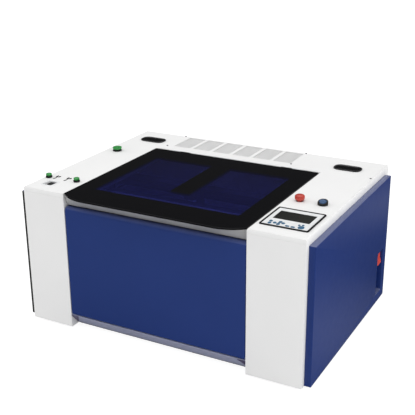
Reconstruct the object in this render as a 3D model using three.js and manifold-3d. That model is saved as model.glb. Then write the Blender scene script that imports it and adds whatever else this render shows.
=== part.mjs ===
// Desktop CO2 laser cutter: sheet-metal cabinet, tinted glass lid, drop-down front door, XY gantry,
// lifting honeycomb bed, laser tube and operator controls. Millimetres, +Z up, +Y to the rear.
// The origin is on the table, under the middle of the cabinet.
import * as THREE from "three";
import { mergeVertices } from "three/addons/utils/BufferGeometryUtils.js";
import Module from "manifold-3d";

const wasm = await Module();
wasm.setup();

// ---------------------------------------------------------------- driving dimensions
const SHEET = 2;
const THIN_SHEET = 1.5;
const CLEARANCE = 0.3;
const ROUND = 20;
const SMALL_ROUND = 12;
const ARC_STEPS = 8;

const FOOT = { radius: 19, height: 10, x: 400, y: 290 };
const BODY = { width: 912, depth: 700, height: 440 };
const LEFT = -BODY.width / 2;
const RIGHT = BODY.width / 2;
const FRONT = -BODY.depth / 2;
const REAR = BODY.depth / 2;
const BOTTOM = FOOT.height;
const TOP = BOTTOM + BODY.height;

// The two white front pillars leave the lid and door opening between them.
const PILLAR = { left: 147, right: 168, returnDepth: 60 };
const OPENING_LEFT = LEFT + PILLAR.left;
const OPENING_RIGHT = RIGHT - PILLAR.right;
const OPENING_REAR = 181;

const COVER = { flange: 14, bend: 5, bendSteps: 2 };
const HOUSING = { top: TOP - COVER.flange - CLEARANCE, rearFlange: 15 };
const PAN = { lip: 20, rearTop: TOP - 4 };
const SIDE_PANEL = { depth: 20, leftDepth: 23, front: FRONT + 19, rear: REAR - 33, top: BOTTOM + 416 };
const POCKET = { depth: 30, shelfDepth: 17, shelfZ: 132, y: [231, 286], z: [40, 186] };

const DOOR = { depth: 24, bottom: 55.5, top: 407.5, sideGap: 1.5, pivotY: FRONT + 4.5, pivotZ: 59.5 };
const DOOR_PIN = { radius: 1.5, bore: 1.8, reach: 6 };
const SILL = { top: 53, slopeDepth: 36, flange: 24, foot: 23 };

const LID = { sideGap: 1.5, rear: 171, overhang: 30, glass: 5, arcRadius: 125, arcRun: 86 };
const LID_FRAME = { front: FRONT + 32, bottom: TOP - 23, inset: 1 };
const WINDOW = { x: [-231, 229], y: [-265, 80] };
const RIB = { x: [-40, 25], front: -190 };
const LIP = { bottom: 411, y: FRONT + 15, thickness: 2.5, stations: 6 };
const HINGE = { y: 175.5, z: TOP - 2.5, pin: 1.5, knuckle: 2.4, bore: 1.8, x: [-250, 232] };
const KNUCKLE = { length: 36, fixed: [-250, -27, 196], moving: [-212, 158] };

const CHAMBER = { left: -408, right: 312, front: -286, rear: 188, bottom: 32.5, top: 422 };
const RAIL = { y: [-280, 180], shelfZ: 346, shelf: 3, width: 12, height: 12, shelfWidth: 21.7, drop: 28 };
const GANTRY = { y: 10, beamHeight: 30, beamDepth: 40, wall: 2.5, bottom: 372 };
const X_RAIL = { x: [-352, 250], z: [383, 391], depth: 6 };
const X_AXIS_Z = 387;
const BELT = { inner: 8.4, thickness: 1.2, width: 6 };
const PULLEY = { radius: 8.2, flange: 10.5, flangeWidth: 1, width: 7, shaft: 2.5, bore: 2.9 };
const X_DRIVE = { pulleyX: 266, idlerX: -372, beltY: GANTRY.y - 26 };
const Y_DRIVE = { beltX: -397, z: 334.6, pulleyY: 160, idlerY: -268 };
const MOTOR = { side: 42, length: 41 };
const HEAD = { x: -48, plateWidth: 64, tubeY: GANTRY.y - 54, tubeRadius: 13, nozzleZ: 292 };

const BED = { x: [-338, 242], y: [-275, 71], z: [240, 265], member: 18, ledge: 9, top: 268 };
const LIFT = { y: -102, leftX: -358, rightX: 262, radius: 5, bore: 6.2, z: [12.5, 330] };

const TUBE = { x: [-380, 390], y: 262, z: 318, radius: 27, wall: 3, clampX: [-250, 250] };
const STRUT = { x: 262, pivotY: 150, pivotZ: 420, lidY: -60, lidZ: 432, radius: 6, rod: 3.5, eyeWidth: 8 };

const VENT = { x: -266, y: [221, 335], fields: 6, width: 63, pitch: 74.6, slots: 6, slotDepth: 7 };
const GRIP = { length: 90, width: 50, corner: 16, rim: 4, rise: 4, depth: 30, y: 250, leftX: -367, rightX: 354 };
const CONTROLLER = { x: [301, 442], y: [-306, -168], frame: 5, thickness: 3.2 };
const SCREEN = { x: [318, 424], y: [-253, -192] };
const DATA_PORT = { x: [-418, -382], y: [-312, -274], depth: 26, rim: 3 };
const BUTTON = { hole: 11.2, barrel: 10.9, bezel: 15, stem: 6, depth: 24 };
const SMALL_BUTTON = { hole: 8.2, barrel: 7.9, bezel: 10.2, stem: 4.5, depth: 18 };
const START_CAP = { radius: 10.2, bottom: 4.5, top: 12.5, dish: 1 };
const LAMP_CAP = { radius: 15.2, bottom: 7.3, top: 13.4, dish: 1.5 };
const SMALL_CAP = { radius: 9, bottom: 7.8, top: 12.5, dish: -1 };
const BEZEL_RIM = { start: 14.5, startFront: 6, startRecess: 1, lamp: 4, small: 5.2 };
const ESTOP_AT = [331, -92];
const START_AT = [401, -93];
const LAMP_AT = [-410, 86];
const FAN_AT = [-439, -248];
const AIR_AT = [-337, -244];
const ROCKER = { y: 259, z: 160, width: 36, aperture: 22, reach: 15.8, recess: 10.5 };
const EXHAUST = { x: -140, z: 190, radius: 50, wall: 2, flange: 66, reach: 30 };
const INLET = { x: 380, z: 90, width: 48, height: 28, rim: 6 };

// ---------------------------------------------------------------- materials
function finish(color, roughness, metalness = 0) {
  return new THREE.MeshStandardMaterial({ color, roughness, metalness });
}

const whitePaint = finish(0xf0f0f0, 0.45);
const bluePaint = finish(0x24386f, 0.35);
const sillPaint = finish(0x8589a3, 0.4);
const blackPaint = finish(0x18181a, 0.5);
const tintedGlass = finish(0x10122c, 0.08);
const aluminium = finish(0x9a9a9a, 0.4, 0.8);
const steel = finish(0xb4b6b8, 0.35, 0.9);
const blackPlastic = finish(0x121213, 0.4);
const whitePlastic = finish(0xe8eaec, 0.4);
const screenGlass = finish(0x1c1c1e, 0.15);
const redPlastic = finish(0xc8322a, 0.3);
const bluePlastic = finish(0x2f4f8f, 0.3);
const greenPlastic = finish(0x1f9a45, 0.3);
const rubber = finish(0x202020, 0.8);
const tubeGlass = finish(0xd8e4ea, 0.05);

// ---------------------------------------------------------------- solids
// A closed geometry as a manifold-3d solid that faces out.
function solid(geometry) {
  const bare = new THREE.BufferGeometry();
  bare.setAttribute("position", geometry.getAttribute("position"));
  bare.setIndex(geometry.getIndex());
  const merged = mergeVertices(bare, 1e-4);
  const index = merged.index.array;
  const kept = [];
  for (let i = 0; i < index.length; i += 3) {
    const [a, b, c] = index.slice(i, i + 3);
    if (a !== b && b !== c && a !== c) kept.push(a, b, c);
  }
  const build = (triangles) =>
    new wasm.Manifold(
      new wasm.Mesh({
        numProp: 3,
        vertProperties: merged.attributes.position.array,
        triVerts: new Uint32Array(triangles),
      }),
    );
  const made = build(kept);
  return made.volume() < 0 ? build(kept.reverse()) : made;
}

function geometryOf(manifold) {
  const mesh = manifold.getMesh();
  const geometry = new THREE.BufferGeometry();
  geometry.setAttribute("position", new THREE.BufferAttribute(new Float32Array(mesh.vertProperties), 3));
  geometry.setIndex(new THREE.BufferAttribute(new Uint32Array(mesh.triVerts), 1));
  geometry.computeVertexNormals();
  return geometry;
}

function join(...geometries) {
  return geometryOf(geometries.map(solid).reduce((whole, piece) => whole.add(piece)));
}

function cut(geometry, ...tools) {
  return geometryOf(tools.map(solid).reduce((rest, tool) => rest.subtract(tool), solid(geometry)));
}

// ---------------------------------------------------------------- shapes
// A box between two values on each axis.
function box([x0, x1], [y0, y1], [z0, z1]) {
  const geometry = new THREE.BoxGeometry(x1 - x0, y1 - y0, z1 - z0);
  return geometry.translate((x0 + x1) / 2, (y0 + y1) / 2, (z0 + z1) / 2);
}

// The same box made smaller by a margin on each axis.
function shrink([low, high], margin) {
  return [low + margin, high - margin];
}

function span(centre, width) {
  return [centre - width / 2, centre + width / 2];
}

function rodX(radius, [x0, x1], y, z, sides = ROUND) {
  const geometry = new THREE.CylinderGeometry(radius, radius, x1 - x0, sides).rotateZ(Math.PI / 2);
  return geometry.translate((x0 + x1) / 2, y, z);
}

function rodY(radius, x, [y0, y1], z, sides = ROUND) {
  return new THREE.CylinderGeometry(radius, radius, y1 - y0, sides).translate(x, (y0 + y1) / 2, z);
}

function rodZ(radius, x, y, [z0, z1], sides = ROUND) {
  const geometry = new THREE.CylinderGeometry(radius, radius, z1 - z0, sides).rotateX(Math.PI / 2);
  return geometry.translate(x, y, (z0 + z1) / 2);
}

// A plan outline raised between two heights.
function plate(shape, [z0, z1]) {
  const settings = { depth: z1 - z0, bevelEnabled: false, curveSegments: ARC_STEPS };
  return new THREE.ExtrudeGeometry(shape, settings).translate(0, 0, z0);
}

// A (y, z) outline drawn out along X.
function profileX(shape, [x0, x1]) {
  const geometry = new THREE.ExtrudeGeometry(shape, { depth: x1 - x0, bevelEnabled: false });
  const toFrame = new THREE.Matrix4().makeBasis(
    new THREE.Vector3(0, 1, 0),
    new THREE.Vector3(0, 0, 1),
    new THREE.Vector3(1, 0, 0),
  );
  return geometry.applyMatrix4(toFrame).translate(x0, 0, 0);
}

function polygon(points) {
  return new THREE.Shape(points.map(([u, v]) => new THREE.Vector2(u, v)));
}

function rectangle([x0, x1], [y0, y1]) {
  return polygon([[x0, y0], [x1, y0], [x1, y1], [x0, y1]]);
}

// The outline of a sheet folded along a path, with its thickness on the left of the path.
function bentSheet(path, thickness) {
  const points = path.map(([u, v]) => new THREE.Vector2(u, v));
  const normals = points.slice(1).map((point, i) => {
    const run = point.clone().sub(points[i]).normalize();
    return new THREE.Vector2(-run.y, run.x);
  });
  const inner = points.map((point, i) => {
    const before = normals[Math.max(i - 1, 0)];
    const after = normals[Math.min(i, normals.length - 1)];
    const mitre = before.clone().add(after).multiplyScalar(thickness / (1 + before.dot(after)));
    return point.clone().add(mitre);
  });
  return new THREE.Shape([...points, ...inner.reverse()]);
}

// A plan outline with half-round ends, long side along X.
function stadium(length, width) {
  const shape = new THREE.Shape();
  const radius = width / 2;
  const straight = length / 2 - radius;
  shape.absarc(straight, 0, radius, -Math.PI / 2, Math.PI / 2);
  shape.absarc(-straight, 0, radius, Math.PI / 2, (3 * Math.PI) / 2);
  return shape;
}

// A turned piece about the vertical axis from [radius, height] points.
function turned(points, sides = ROUND) {
  const profile = points.map(([radius, height]) => new THREE.Vector2(radius, height));
  return new THREE.LatheGeometry(profile, sides).rotateX(Math.PI / 2);
}

// A closed solid through a row of sections that all have the same number of corners.
function loft(sections) {
  const corners = sections[0].length;
  const index = [];
  sections.slice(1).forEach((_, s) => {
    for (let c = 0; c < corners; c++) {
      const a = s * corners + c;
      const b = s * corners + ((c + 1) % corners);
      index.push(a, b, a + corners, b, b + corners, a + corners);
    }
  });
  const last = (sections.length - 1) * corners;
  for (let c = 1; c < corners - 1; c++) {
    index.push(0, c + 1, c);
    index.push(last, last + c, last + c + 1);
  }
  const geometry = new THREE.BufferGeometry();
  geometry.setAttribute("position", new THREE.Float32BufferAttribute(sections.flat(2), 3));
  geometry.setIndex(index);
  return geometry;
}

// ---------------------------------------------------------------- assembly
const laserCutter = new THREE.Group();

function add(name, geometry, material, position = [0, 0, 0], parent = laserCutter) {
  const mesh = new THREE.Mesh(geometry, material);
  mesh.name = name;
  mesh.position.set(...position);
  parent.add(mesh);
  return mesh;
}

// ---------------------------------------------------------------- cabinet
// Floor and rear wall are one folded sheet. The floor steps back behind the door between the pillars.
function chassisPan() {
  const edge = SHEET + 0.5;
  const outline = (inset) => {
    const x = [LEFT + edge + inset, RIGHT - edge - inset];
    const y = [FRONT + edge + inset, REAR - edge + 0.2 - inset];
    const step = FRONT + PILLAR.returnDepth + 0.5 + inset;
    const leftReturn = OPENING_LEFT - edge - inset;
    const rightReturn = OPENING_RIGHT + edge + inset;
    return polygon([
      [x[0], y[0]],
      [leftReturn, y[0]],
      [leftReturn, step],
      [rightReturn, step],
      [rightReturn, y[0]],
      [x[1], y[0]],
      [x[1], y[1]],
      [x[0], y[1]],
    ]);
  };
  const tray = cut(
    plate(outline(0), [BOTTOM, BOTTOM + PAN.lip]),
    plate(outline(SHEET), [BOTTOM + SHEET, BOTTOM + PAN.lip + 1]),
  );
  const rearY = REAR - edge + 0.2;
  const wall = box([LEFT + edge, RIGHT - edge], [rearY - SHEET, rearY], [BOTTOM, PAN.rearTop]);
  const through = [rearY - 5, rearY + 5];
  const exhaustHole = rodY(EXHAUST.radius + 1, EXHAUST.x, through, EXHAUST.z);
  const inletHole = box(span(INLET.x, INLET.width + 1), through, span(INLET.z, INLET.height + 1));
  const slots = [0, 1, 2, 3, 4, 5].map((i) => {
    return box([340, 420], through, span(250 + i * 14, 5));
  });
  return cut(join(tray, wall), exhaustHole, inletHole, ...slots);
}

// One pillar sheet: rear flange, long side wall, pillar front and the short return behind the door.
function housing(outerX, innerX, side) {
  const path = [
    [outerX + side * HOUSING.rearFlange, REAR],
    [outerX, REAR],
    [outerX, FRONT],
    [innerX, FRONT],
    [innerX, FRONT + PILLAR.returnDepth],
  ];
  const shell = plate(bentSheet(path, side * SHEET), [BOTTOM, HOUSING.top]);
  const pin = rodX(
    DOOR_PIN.radius,
    side > 0 ? [innerX - 1, innerX + DOOR_PIN.reach] : [innerX - DOOR_PIN.reach, innerX + 1],
    DOOR.pivotY,
    DOOR.pivotZ,
    SMALL_ROUND,
  );
  return join(shell, pin);
}

function rightHousing() {
  const shell = housing(RIGHT, OPENING_RIGHT, -1);
  const window = box([RIGHT - 5, RIGHT + 5], shrink(POCKET.y, -3), shrink(POCKET.z, -3));
  return cut(shell, window);
}

// The white top is one U-shaped pressing with rolled edges, open at the front for the lid.
function topCover() {
  const outline = (inset) =>
    polygon([
      [LEFT + inset, FRONT + inset],
      [OPENING_LEFT - inset, FRONT + inset],
      [OPENING_LEFT - inset, OPENING_REAR + inset],
      [OPENING_RIGHT + inset, OPENING_REAR + inset],
      [OPENING_RIGHT + inset, FRONT + inset],
      [RIGHT - inset, FRONT + inset],
      [RIGHT - inset, REAR - inset],
      [LEFT + inset, REAR - inset],
    ]);
  const rolled = new THREE.ExtrudeGeometry(outline(0), {
    depth: COVER.flange * 2,
    bevelThickness: COVER.bend,
    bevelSize: COVER.bend,
    bevelOffset: -COVER.bend,
    bevelSegments: COVER.bendSteps,
  }).translate(0, 0, TOP - COVER.flange * 2 - COVER.bend);
  const below = box([LEFT - 1, RIGHT + 1], [FRONT - 1, REAR + 1], [TOP - 100, TOP - COVER.flange]);
  const hollow = plate(outline(SHEET), [TOP - COVER.flange - 1, TOP - SHEET]);
  const through = [TOP - 10, TOP + 1];
  const vents = [];
  for (let i = 0; i < VENT.fields; i++) {
    const start = VENT.x + i * VENT.pitch;
    vents.push(box([start, start + VENT.width], VENT.y, through));
  }
  const grips = [GRIP.leftX, GRIP.rightX].map((x) => {
    return plate(gripOutline(GRIP.rim), through).translate(x, GRIP.y, 0);
  });
  const holes = [
    [BUTTON.hole, ESTOP_AT],
    [BUTTON.hole, START_AT],
    [BUTTON.hole, LAMP_AT],
    [SMALL_BUTTON.hole, FAN_AT],
    [SMALL_BUTTON.hole, AIR_AT],
  ].map(([radius, [x, y]]) => rodZ(radius, x, y, through));
  const dataHole = box(shrink(DATA_PORT.x, -0.5), shrink(DATA_PORT.y, -0.5), through);
  const cable = box(span(371, 60), span(-237, 40), through);
  return cut(rolled, below, hollow, ...vents, ...grips, ...holes, dataHole, cable);
}

// A raised outer panel is a tray that opens inwards, against the housing wall.
function sidePanelTray(side) {
  const wall = side * (RIGHT + CLEARANCE);
  const face = side > 0 ? RIGHT + SIDE_PANEL.depth : LEFT - SIDE_PANEL.leftDepth;
  const x = [Math.min(wall, face), Math.max(wall, face)];
  const inside = side > 0 ? [x[0] - 1, x[1] - SHEET] : [x[0] + SHEET, x[1] + 1];
  const y = [SIDE_PANEL.front, SIDE_PANEL.rear];
  const z = [BOTTOM, SIDE_PANEL.top];
  return cut(box(x, y, z), box(inside, shrink(y, SHEET), shrink(z, SHEET)));
}

// A box-shaped dent in the right panel, as far as a given depth, grown on all sides by the sheet.
function pocketBox(depth, z, grow) {
  const face = RIGHT + SIDE_PANEL.depth;
  return box([face - depth - grow, face + 1 - grow], shrink(POCKET.y, -grow), shrink(z, -grow));
}

// The right panel has a pocket near its rear edge: a finger well, and a shallower shelf above it
// that carries the mains rocker.
function rightSidePanel() {
  const well = [POCKET.z[0], POCKET.shelfZ];
  const shelf = [POCKET.shelfZ, POCKET.z[1]];
  const shelfFloor = RIGHT + SIDE_PANEL.depth - POCKET.shelfDepth;
  const aperture = box(
    [shelfFloor - 5, shelfFloor + 1],
    span(ROCKER.y, ROCKER.width + 2),
    span(ROCKER.z, ROCKER.aperture * 2),
  );
  const dent = join(pocketBox(POCKET.depth, well, SHEET), pocketBox(POCKET.shelfDepth, shelf, SHEET));
  const hollow = join(pocketBox(POCKET.depth, well, 0), pocketBox(POCKET.shelfDepth, shelf, 0));
  return cut(join(sidePanelTray(1), dent), hollow, aperture);
}

// The sill closes the cabinet under the door: it slopes back from the door's foot to the table.
function frontSill() {
  const path = [
    [FRONT + SILL.flange, SILL.top],
    [FRONT, SILL.top],
    [FRONT + SILL.slopeDepth, BOTTOM],
    [FRONT + SILL.slopeDepth + SILL.foot, BOTTOM],
  ];
  return profileX(bentSheet(path, SHEET), [OPENING_LEFT + CLEARANCE, OPENING_RIGHT - CLEARANCE]);
}

function ventGrille() {
  const x = [VENT.x - 12, VENT.x + VENT.fields * VENT.pitch + 1];
  const sheet = box(x, [VENT.y[0] - 9, VENT.y[1] + 9], [TOP - SHEET - 1.8, TOP - SHEET - CLEARANCE]);
  const slots = [];
  const pitch = (VENT.y[1] - VENT.y[0]) / VENT.slots;
  for (let field = 0; field < VENT.fields; field++) {
    const start = VENT.x + field * VENT.pitch;
    for (let slot = 0; slot < VENT.slots; slot++) {
      const y = VENT.y[0] + (slot + 0.5) * pitch;
      slots.push(box(shrink([start, start + VENT.width], 3), span(y, VENT.slotDepth), [TOP - 9, TOP]));
    }
  }
  return cut(sheet, ...slots);
}

// The grip's plan outline, made smaller overall by a margin.
function gripOutline(margin) {
  const [x, y] = [GRIP.length - margin, GRIP.width - margin].map((size) => span(0, size));
  const radius = GRIP.corner - margin / 2;
  const shape = new THREE.Shape();
  shape.absarc(x[1] - radius, y[1] - radius, radius, 0, Math.PI / 2);
  shape.absarc(x[0] + radius, y[1] - radius, radius, Math.PI / 2, Math.PI);
  shape.absarc(x[0] + radius, y[0] + radius, radius, Math.PI, 1.5 * Math.PI);
  shape.absarc(x[1] - radius, y[0] + radius, radius, 1.5 * Math.PI, 2 * Math.PI);
  return shape;
}

// A flush finger cup with a raised rim.
function gripCup() {
  const barrel = plate(gripOutline(GRIP.rim + 1), [-GRIP.depth, 1]);
  const rim = plate(gripOutline(0), [CLEARANCE, GRIP.rise]);
  const inside = plate(gripOutline(GRIP.rim * 2 + 1), [SHEET - GRIP.depth, GRIP.rise + 1]);
  return cut(join(barrel, rim), inside);
}

function addCabinet() {
  add("chassis_pan", chassisPan(), whitePaint);
  add("left_housing", housing(LEFT, OPENING_LEFT, 1), whitePaint);
  add("right_housing", rightHousing(), whitePaint);
  add("top_cover", topCover(), whitePaint);
  add("left_side_panel", sidePanelTray(-1), bluePaint);
  add("right_side_panel", rightSidePanel(), bluePaint);
  add("front_sill", frontSill(), sillPaint);
  add("vent_grille", ventGrille(), whitePaint);
  add("grip_cup_left", gripCup(), blackPlastic, [GRIP.leftX, GRIP.y, TOP]);
  add("grip_cup_right", gripCup(), blackPlastic, [GRIP.rightX, GRIP.y, TOP]);
  const foot = [[0, 0], [FOOT.radius - 3, 0], [FOOT.radius, 3], [FOOT.radius, FOOT.height], [0, FOOT.height]];
  for (const [row, y] of [["front", -FOOT.y], ["rear", FOOT.y]]) {
    add(`foot_${row}_left`, turned(foot), rubber, [-FOOT.x, y, 0]);
    add(`foot_${row}_right`, turned(foot), rubber, [FOOT.x, y, 0]);
  }
}

// ---------------------------------------------------------------- work chamber
function chamberWall(x) {
  const y = [CHAMBER.front, CHAMBER.rear - SHEET];
  return box(x, y, [CHAMBER.bottom, CHAMBER.top]);
}

function chamberLeftWall() {
  const outer = CHAMBER.left - SHEET;
  const shaft = rodX(PULLEY.shaft + 2, [outer - 1, CHAMBER.left + 1], Y_DRIVE.pulleyY, Y_DRIVE.z);
  return cut(chamberWall([outer, CHAMBER.left]), shaft);
}

// The rear wall carries the gas strut's fixed pivot on a small bracket near its top.
function chamberRearWall() {
  const x = [CHAMBER.left - SHEET, CHAMBER.right + SHEET];
  const wall = box(x, [CHAMBER.rear, CHAMBER.rear + SHEET], [CHAMBER.bottom, CHAMBER.top]);
  const duct = box(span(EXHAUST.x, 220), [CHAMBER.rear - 1, CHAMBER.rear + 5], span(EXHAUST.z, 80));
  const plateX = [STRUT.x + 6, STRUT.x + 9];
  const bracket = box(plateX, [STRUT.pivotY - 6, CHAMBER.rear + 1], [STRUT.pivotZ - 6, STRUT.pivotZ + 5]);
  const stud = rodX(2.5, [STRUT.x - 4, plateX[0] + 1], STRUT.pivotY, STRUT.pivotZ, SMALL_ROUND);
  return join(cut(wall, duct), bracket, stud);
}

// A guide bar on an angle bracket that is screwed to the chamber wall.
function guideRail(wallX, side) {
  const reach = (from, to) => (side > 0 ? [wallX + from, wallX + to] : [wallX - to, wallX - from]);
  const shelfTop = RAIL.shelfZ + RAIL.shelf;
  const leg = box(reach(CLEARANCE, 3.3), RAIL.y, [RAIL.shelfZ - RAIL.drop, shelfTop]);
  const shelf = box(reach(CLEARANCE, RAIL.shelfWidth + CLEARANCE), RAIL.y, [RAIL.shelfZ, shelfTop]);
  const bar = box(reach(6, 6 + RAIL.width), RAIL.y, [shelfTop - 1, shelfTop + RAIL.height]);
  return join(leg, shelf, bar);
}

function leftRail() {
  const rail = guideRail(CHAMBER.left, 1);
  const wall = [CHAMBER.left - 1, CHAMBER.left + 5];
  const shaftHole = rodX(PULLEY.shaft + 2, wall, Y_DRIVE.pulleyY, Y_DRIVE.z);
  const idlerStud = rodX(2.4, [CHAMBER.left + 2, Y_DRIVE.beltX + 4], Y_DRIVE.idlerY, Y_DRIVE.z, SMALL_ROUND);
  return join(cut(rail, shaftHole), idlerStud);
}

function addChamber() {
  add("chamber_left_wall", chamberLeftWall(), steel);
  add("chamber_right_wall", chamberWall([CHAMBER.right, CHAMBER.right + SHEET]), steel);
  add("chamber_rear_wall", chamberRearWall(), steel);
  add("y_rail_left", leftRail(), steel);
  add("y_rail_right", guideRail(CHAMBER.right, -1), steel);
}

// ---------------------------------------------------------------- lid and door
// The glass is square at the rear; its front edge stands out past the pillars on two long arcs.
function lidOutline() {
  const x = [OPENING_LEFT + LID.sideGap, OPENING_RIGHT - LID.sideGap];
  const centreY = FRONT - LID.overhang + LID.arcRadius;
  const sweep = Math.acos(LID.arcRun / LID.arcRadius);
  const shape = new THREE.Shape();
  shape.moveTo(x[1], LID.rear);
  shape.lineTo(x[0], LID.rear);
  shape.absarc(x[0] + LID.arcRun, centreY, LID.arcRadius, Math.PI + sweep, 1.5 * Math.PI, false);
  shape.absarc(x[1] - LID.arcRun, centreY, LID.arcRadius, 1.5 * Math.PI, 2 * Math.PI - sweep, false);
  return shape;
}

// How far forward the glass edge is at a place across the lid.
function lidFrontY(x) {
  const inner = [OPENING_LEFT + LID.sideGap + LID.arcRun, OPENING_RIGHT - LID.sideGap - LID.arcRun];
  const past = Math.max(inner[0] - x, x - inner[1], 0);
  const setBack = LID.arcRadius - Math.sqrt(LID.arcRadius ** 2 - past ** 2);
  return FRONT - LID.overhang + setBack;
}

function windowOutline(margin) {
  const x = shrink(WINDOW.x, -margin);
  const y = shrink(WINDOW.y, -margin);
  const rib = shrink(RIB.x, margin);
  const ribFront = RIB.front + margin;
  return [
    [x[0], y[0]],
    [x[1], y[0]],
    [x[1], y[1]],
    [rib[1], y[1]],
    [rib[1], ribFront],
    [rib[0], ribFront],
    [rib[0], y[1]],
    [x[0], y[1]],
  ];
}

// A black pressed frame under the glass, with a rib that runs forward between the two window panes.
function lidFrame() {
  const x = [OPENING_LEFT + LID.sideGap + LID_FRAME.inset, OPENING_RIGHT - LID.sideGap - LID_FRAME.inset];
  const y = [LID_FRAME.front, LID.rear];
  const top = TOP - LID.glass - CLEARANCE;
  const outer = rectangle(x, y);
  outer.holes.push(polygon(windowOutline(0)));
  const hollow = rectangle(shrink(x, THIN_SHEET), shrink(y, THIN_SHEET));
  hollow.holes.push(polygon(windowOutline(-THIN_SHEET)));
  const pressing = cut(
    plate(outer, [LID_FRAME.bottom, top]),
    plate(hollow, [LID_FRAME.bottom - 1, top - THIN_SHEET]),
  );
  const studPlate = box([STRUT.x + 5.5, STRUT.x + 8.5], span(STRUT.lidY, 16), [STRUT.lidZ - 5, top - 1]);
  const knuckles = KNUCKLE.moving.flatMap((start) => {
    const length = [start, start + KNUCKLE.length];
    return [
      rodX(HINGE.knuckle, length, HINGE.y, HINGE.z, SMALL_ROUND),
      box(length, [LID.rear - 2, LID.rear + 3.4], [top - THIN_SHEET, top]),
      box(length, [LID.rear + 0.6, LID.rear + 3.4], [top - THIN_SHEET, HINGE.z]),
    ];
  });
  const bore = rodX(HINGE.bore, HINGE.x, HINGE.y, HINGE.z, SMALL_ROUND);
  return cut(join(pressing, studPlate, ...knuckles), bore);
}

// The finger grip under the glass edge: straight below, curved above, so its face is ruled between them.
function lidGripLip() {
  const x = [OPENING_LEFT + LID.sideGap + LID_FRAME.inset, OPENING_RIGHT - LID.sideGap - LID_FRAME.inset];
  const inner = [OPENING_LEFT + LID.sideGap + LID.arcRun, OPENING_RIGHT - LID.sideGap - LID.arcRun];
  const places = [];
  for (let i = 0; i < LIP.stations; i++) places.push(x[0] + ((inner[0] - x[0]) * i) / LIP.stations);
  for (let i = 0; i <= LIP.stations; i++) places.push(inner[1] + ((x[1] - inner[1]) * i) / LIP.stations);
  const top = TOP - LID.glass - CLEARANCE;
  const sections = places.map((place) => {
    const front = lidFrontY(place) + 2;
    const back = front + LIP.thickness;
    return [
      [place, LIP.y, LIP.bottom],
      [place, LIP.y + LIP.thickness + 1, LIP.bottom],
      [place, back, top],
      [place, front, top],
    ];
  });
  const flange = box(x, [LIP.y, LID_FRAME.front - CLEARANCE], [LIP.bottom, LIP.bottom + SHEET]);
  const backWall = box(x, shrink([LID_FRAME.front - 2.6, LID_FRAME.front], CLEARANCE), [LIP.bottom, top]);
  return join(loft(sections), flange, backWall);
}

function frontDoor() {
  const x = [OPENING_LEFT + DOOR.sideGap, OPENING_RIGHT - DOOR.sideGap];
  const y = [FRONT, FRONT + DOOR.depth];
  const z = [DOOR.bottom, DOOR.top];
  const tray = cut(box(x, y, z), box(shrink(x, SHEET), [FRONT + SHEET, y[1] + 1], shrink(z, SHEET)));
  const bores = x.map((end) => rodX(DOOR_PIN.bore, span(end, 10), DOOR.pivotY, DOOR.pivotZ, SMALL_ROUND));
  return cut(tray, ...bores);
}

// The fixed half of the lid hinge: a full-length pin with three knuckles on leaves behind the lid.
function lidHinge() {
  const pieces = [rodX(HINGE.pin, HINGE.x, HINGE.y, HINGE.z, SMALL_ROUND)];
  for (const start of KNUCKLE.fixed) {
    const length = [start, start + KNUCKLE.length];
    const back = OPENING_REAR - CLEARANCE;
    pieces.push(rodX(HINGE.knuckle, length, HINGE.y, HINGE.z, SMALL_ROUND));
    pieces.push(box(length, [HINGE.y + 1, back], [HINGE.z - 2, HINGE.z + 1]));
    pieces.push(box(length, [back - THIN_SHEET, back], [TOP - COVER.flange + 1, HINGE.z + 1]));
  }
  return join(...pieces);
}

// The strut is drawn along its own +Y from the fixed pivot, then turned towards the lid stud.
function addStrut() {
  const rise = STRUT.lidZ - STRUT.pivotZ;
  const run = STRUT.lidY - STRUT.pivotY;
  const length = Math.hypot(rise, run);
  const strut = new THREE.Group();
  strut.position.set(STRUT.x, STRUT.pivotY, STRUT.pivotZ);
  strut.rotation.x = Math.atan2(rise, run);
  const eye = span(0, STRUT.eyeWidth);
  const cylinder = cut(
    join(
      rodY(STRUT.radius, 0, [10, 138], 0, SMALL_ROUND),
      rodY(STRUT.rod, 0, [4, 12], 0, SMALL_ROUND),
      rodX(STRUT.radius, eye, 0, 0, SMALL_ROUND),
    ),
    rodY(STRUT.rod + 1, 0, [60, 139], 0, SMALL_ROUND),
    rodX(2.9, [-9, 9], 0, 0, SMALL_ROUND),
  );
  const rod = join(
    rodY(STRUT.rod, 0, [80, length], 0, SMALL_ROUND),
    rodX(STRUT.radius - 1, eye, length, 0, SMALL_ROUND),
  );
  add("strut_cylinder", cylinder, blackPaint, [0, 0, 0], strut);
  add("strut_rod", rod, steel, [0, 0, 0], strut);
  laserCutter.add(strut);
}

function addLidAndDoor() {
  add("lid_glass", plate(lidOutline(), [TOP - LID.glass, TOP]), tintedGlass);
  add("lid_frame", lidFrame(), blackPaint);
  add("lid_grip_lip", lidGripLip(), aluminium);
  add("lid_hinge", lidHinge(), steel);
  add("front_door", frontDoor(), bluePaint);
  addStrut();
}

// ---------------------------------------------------------------- motion system
// A toothed belt's loop about two equal pulleys, as a flat ring in local (u, v), long side along u.
function beltLoop(distance, width) {
  const outer = stadium(distance + 2 * (BELT.inner + BELT.thickness), 2 * (BELT.inner + BELT.thickness));
  outer.holes.push(stadium(distance + 2 * BELT.inner, 2 * BELT.inner));
  return plate(outer, span(0, width));
}

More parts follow.
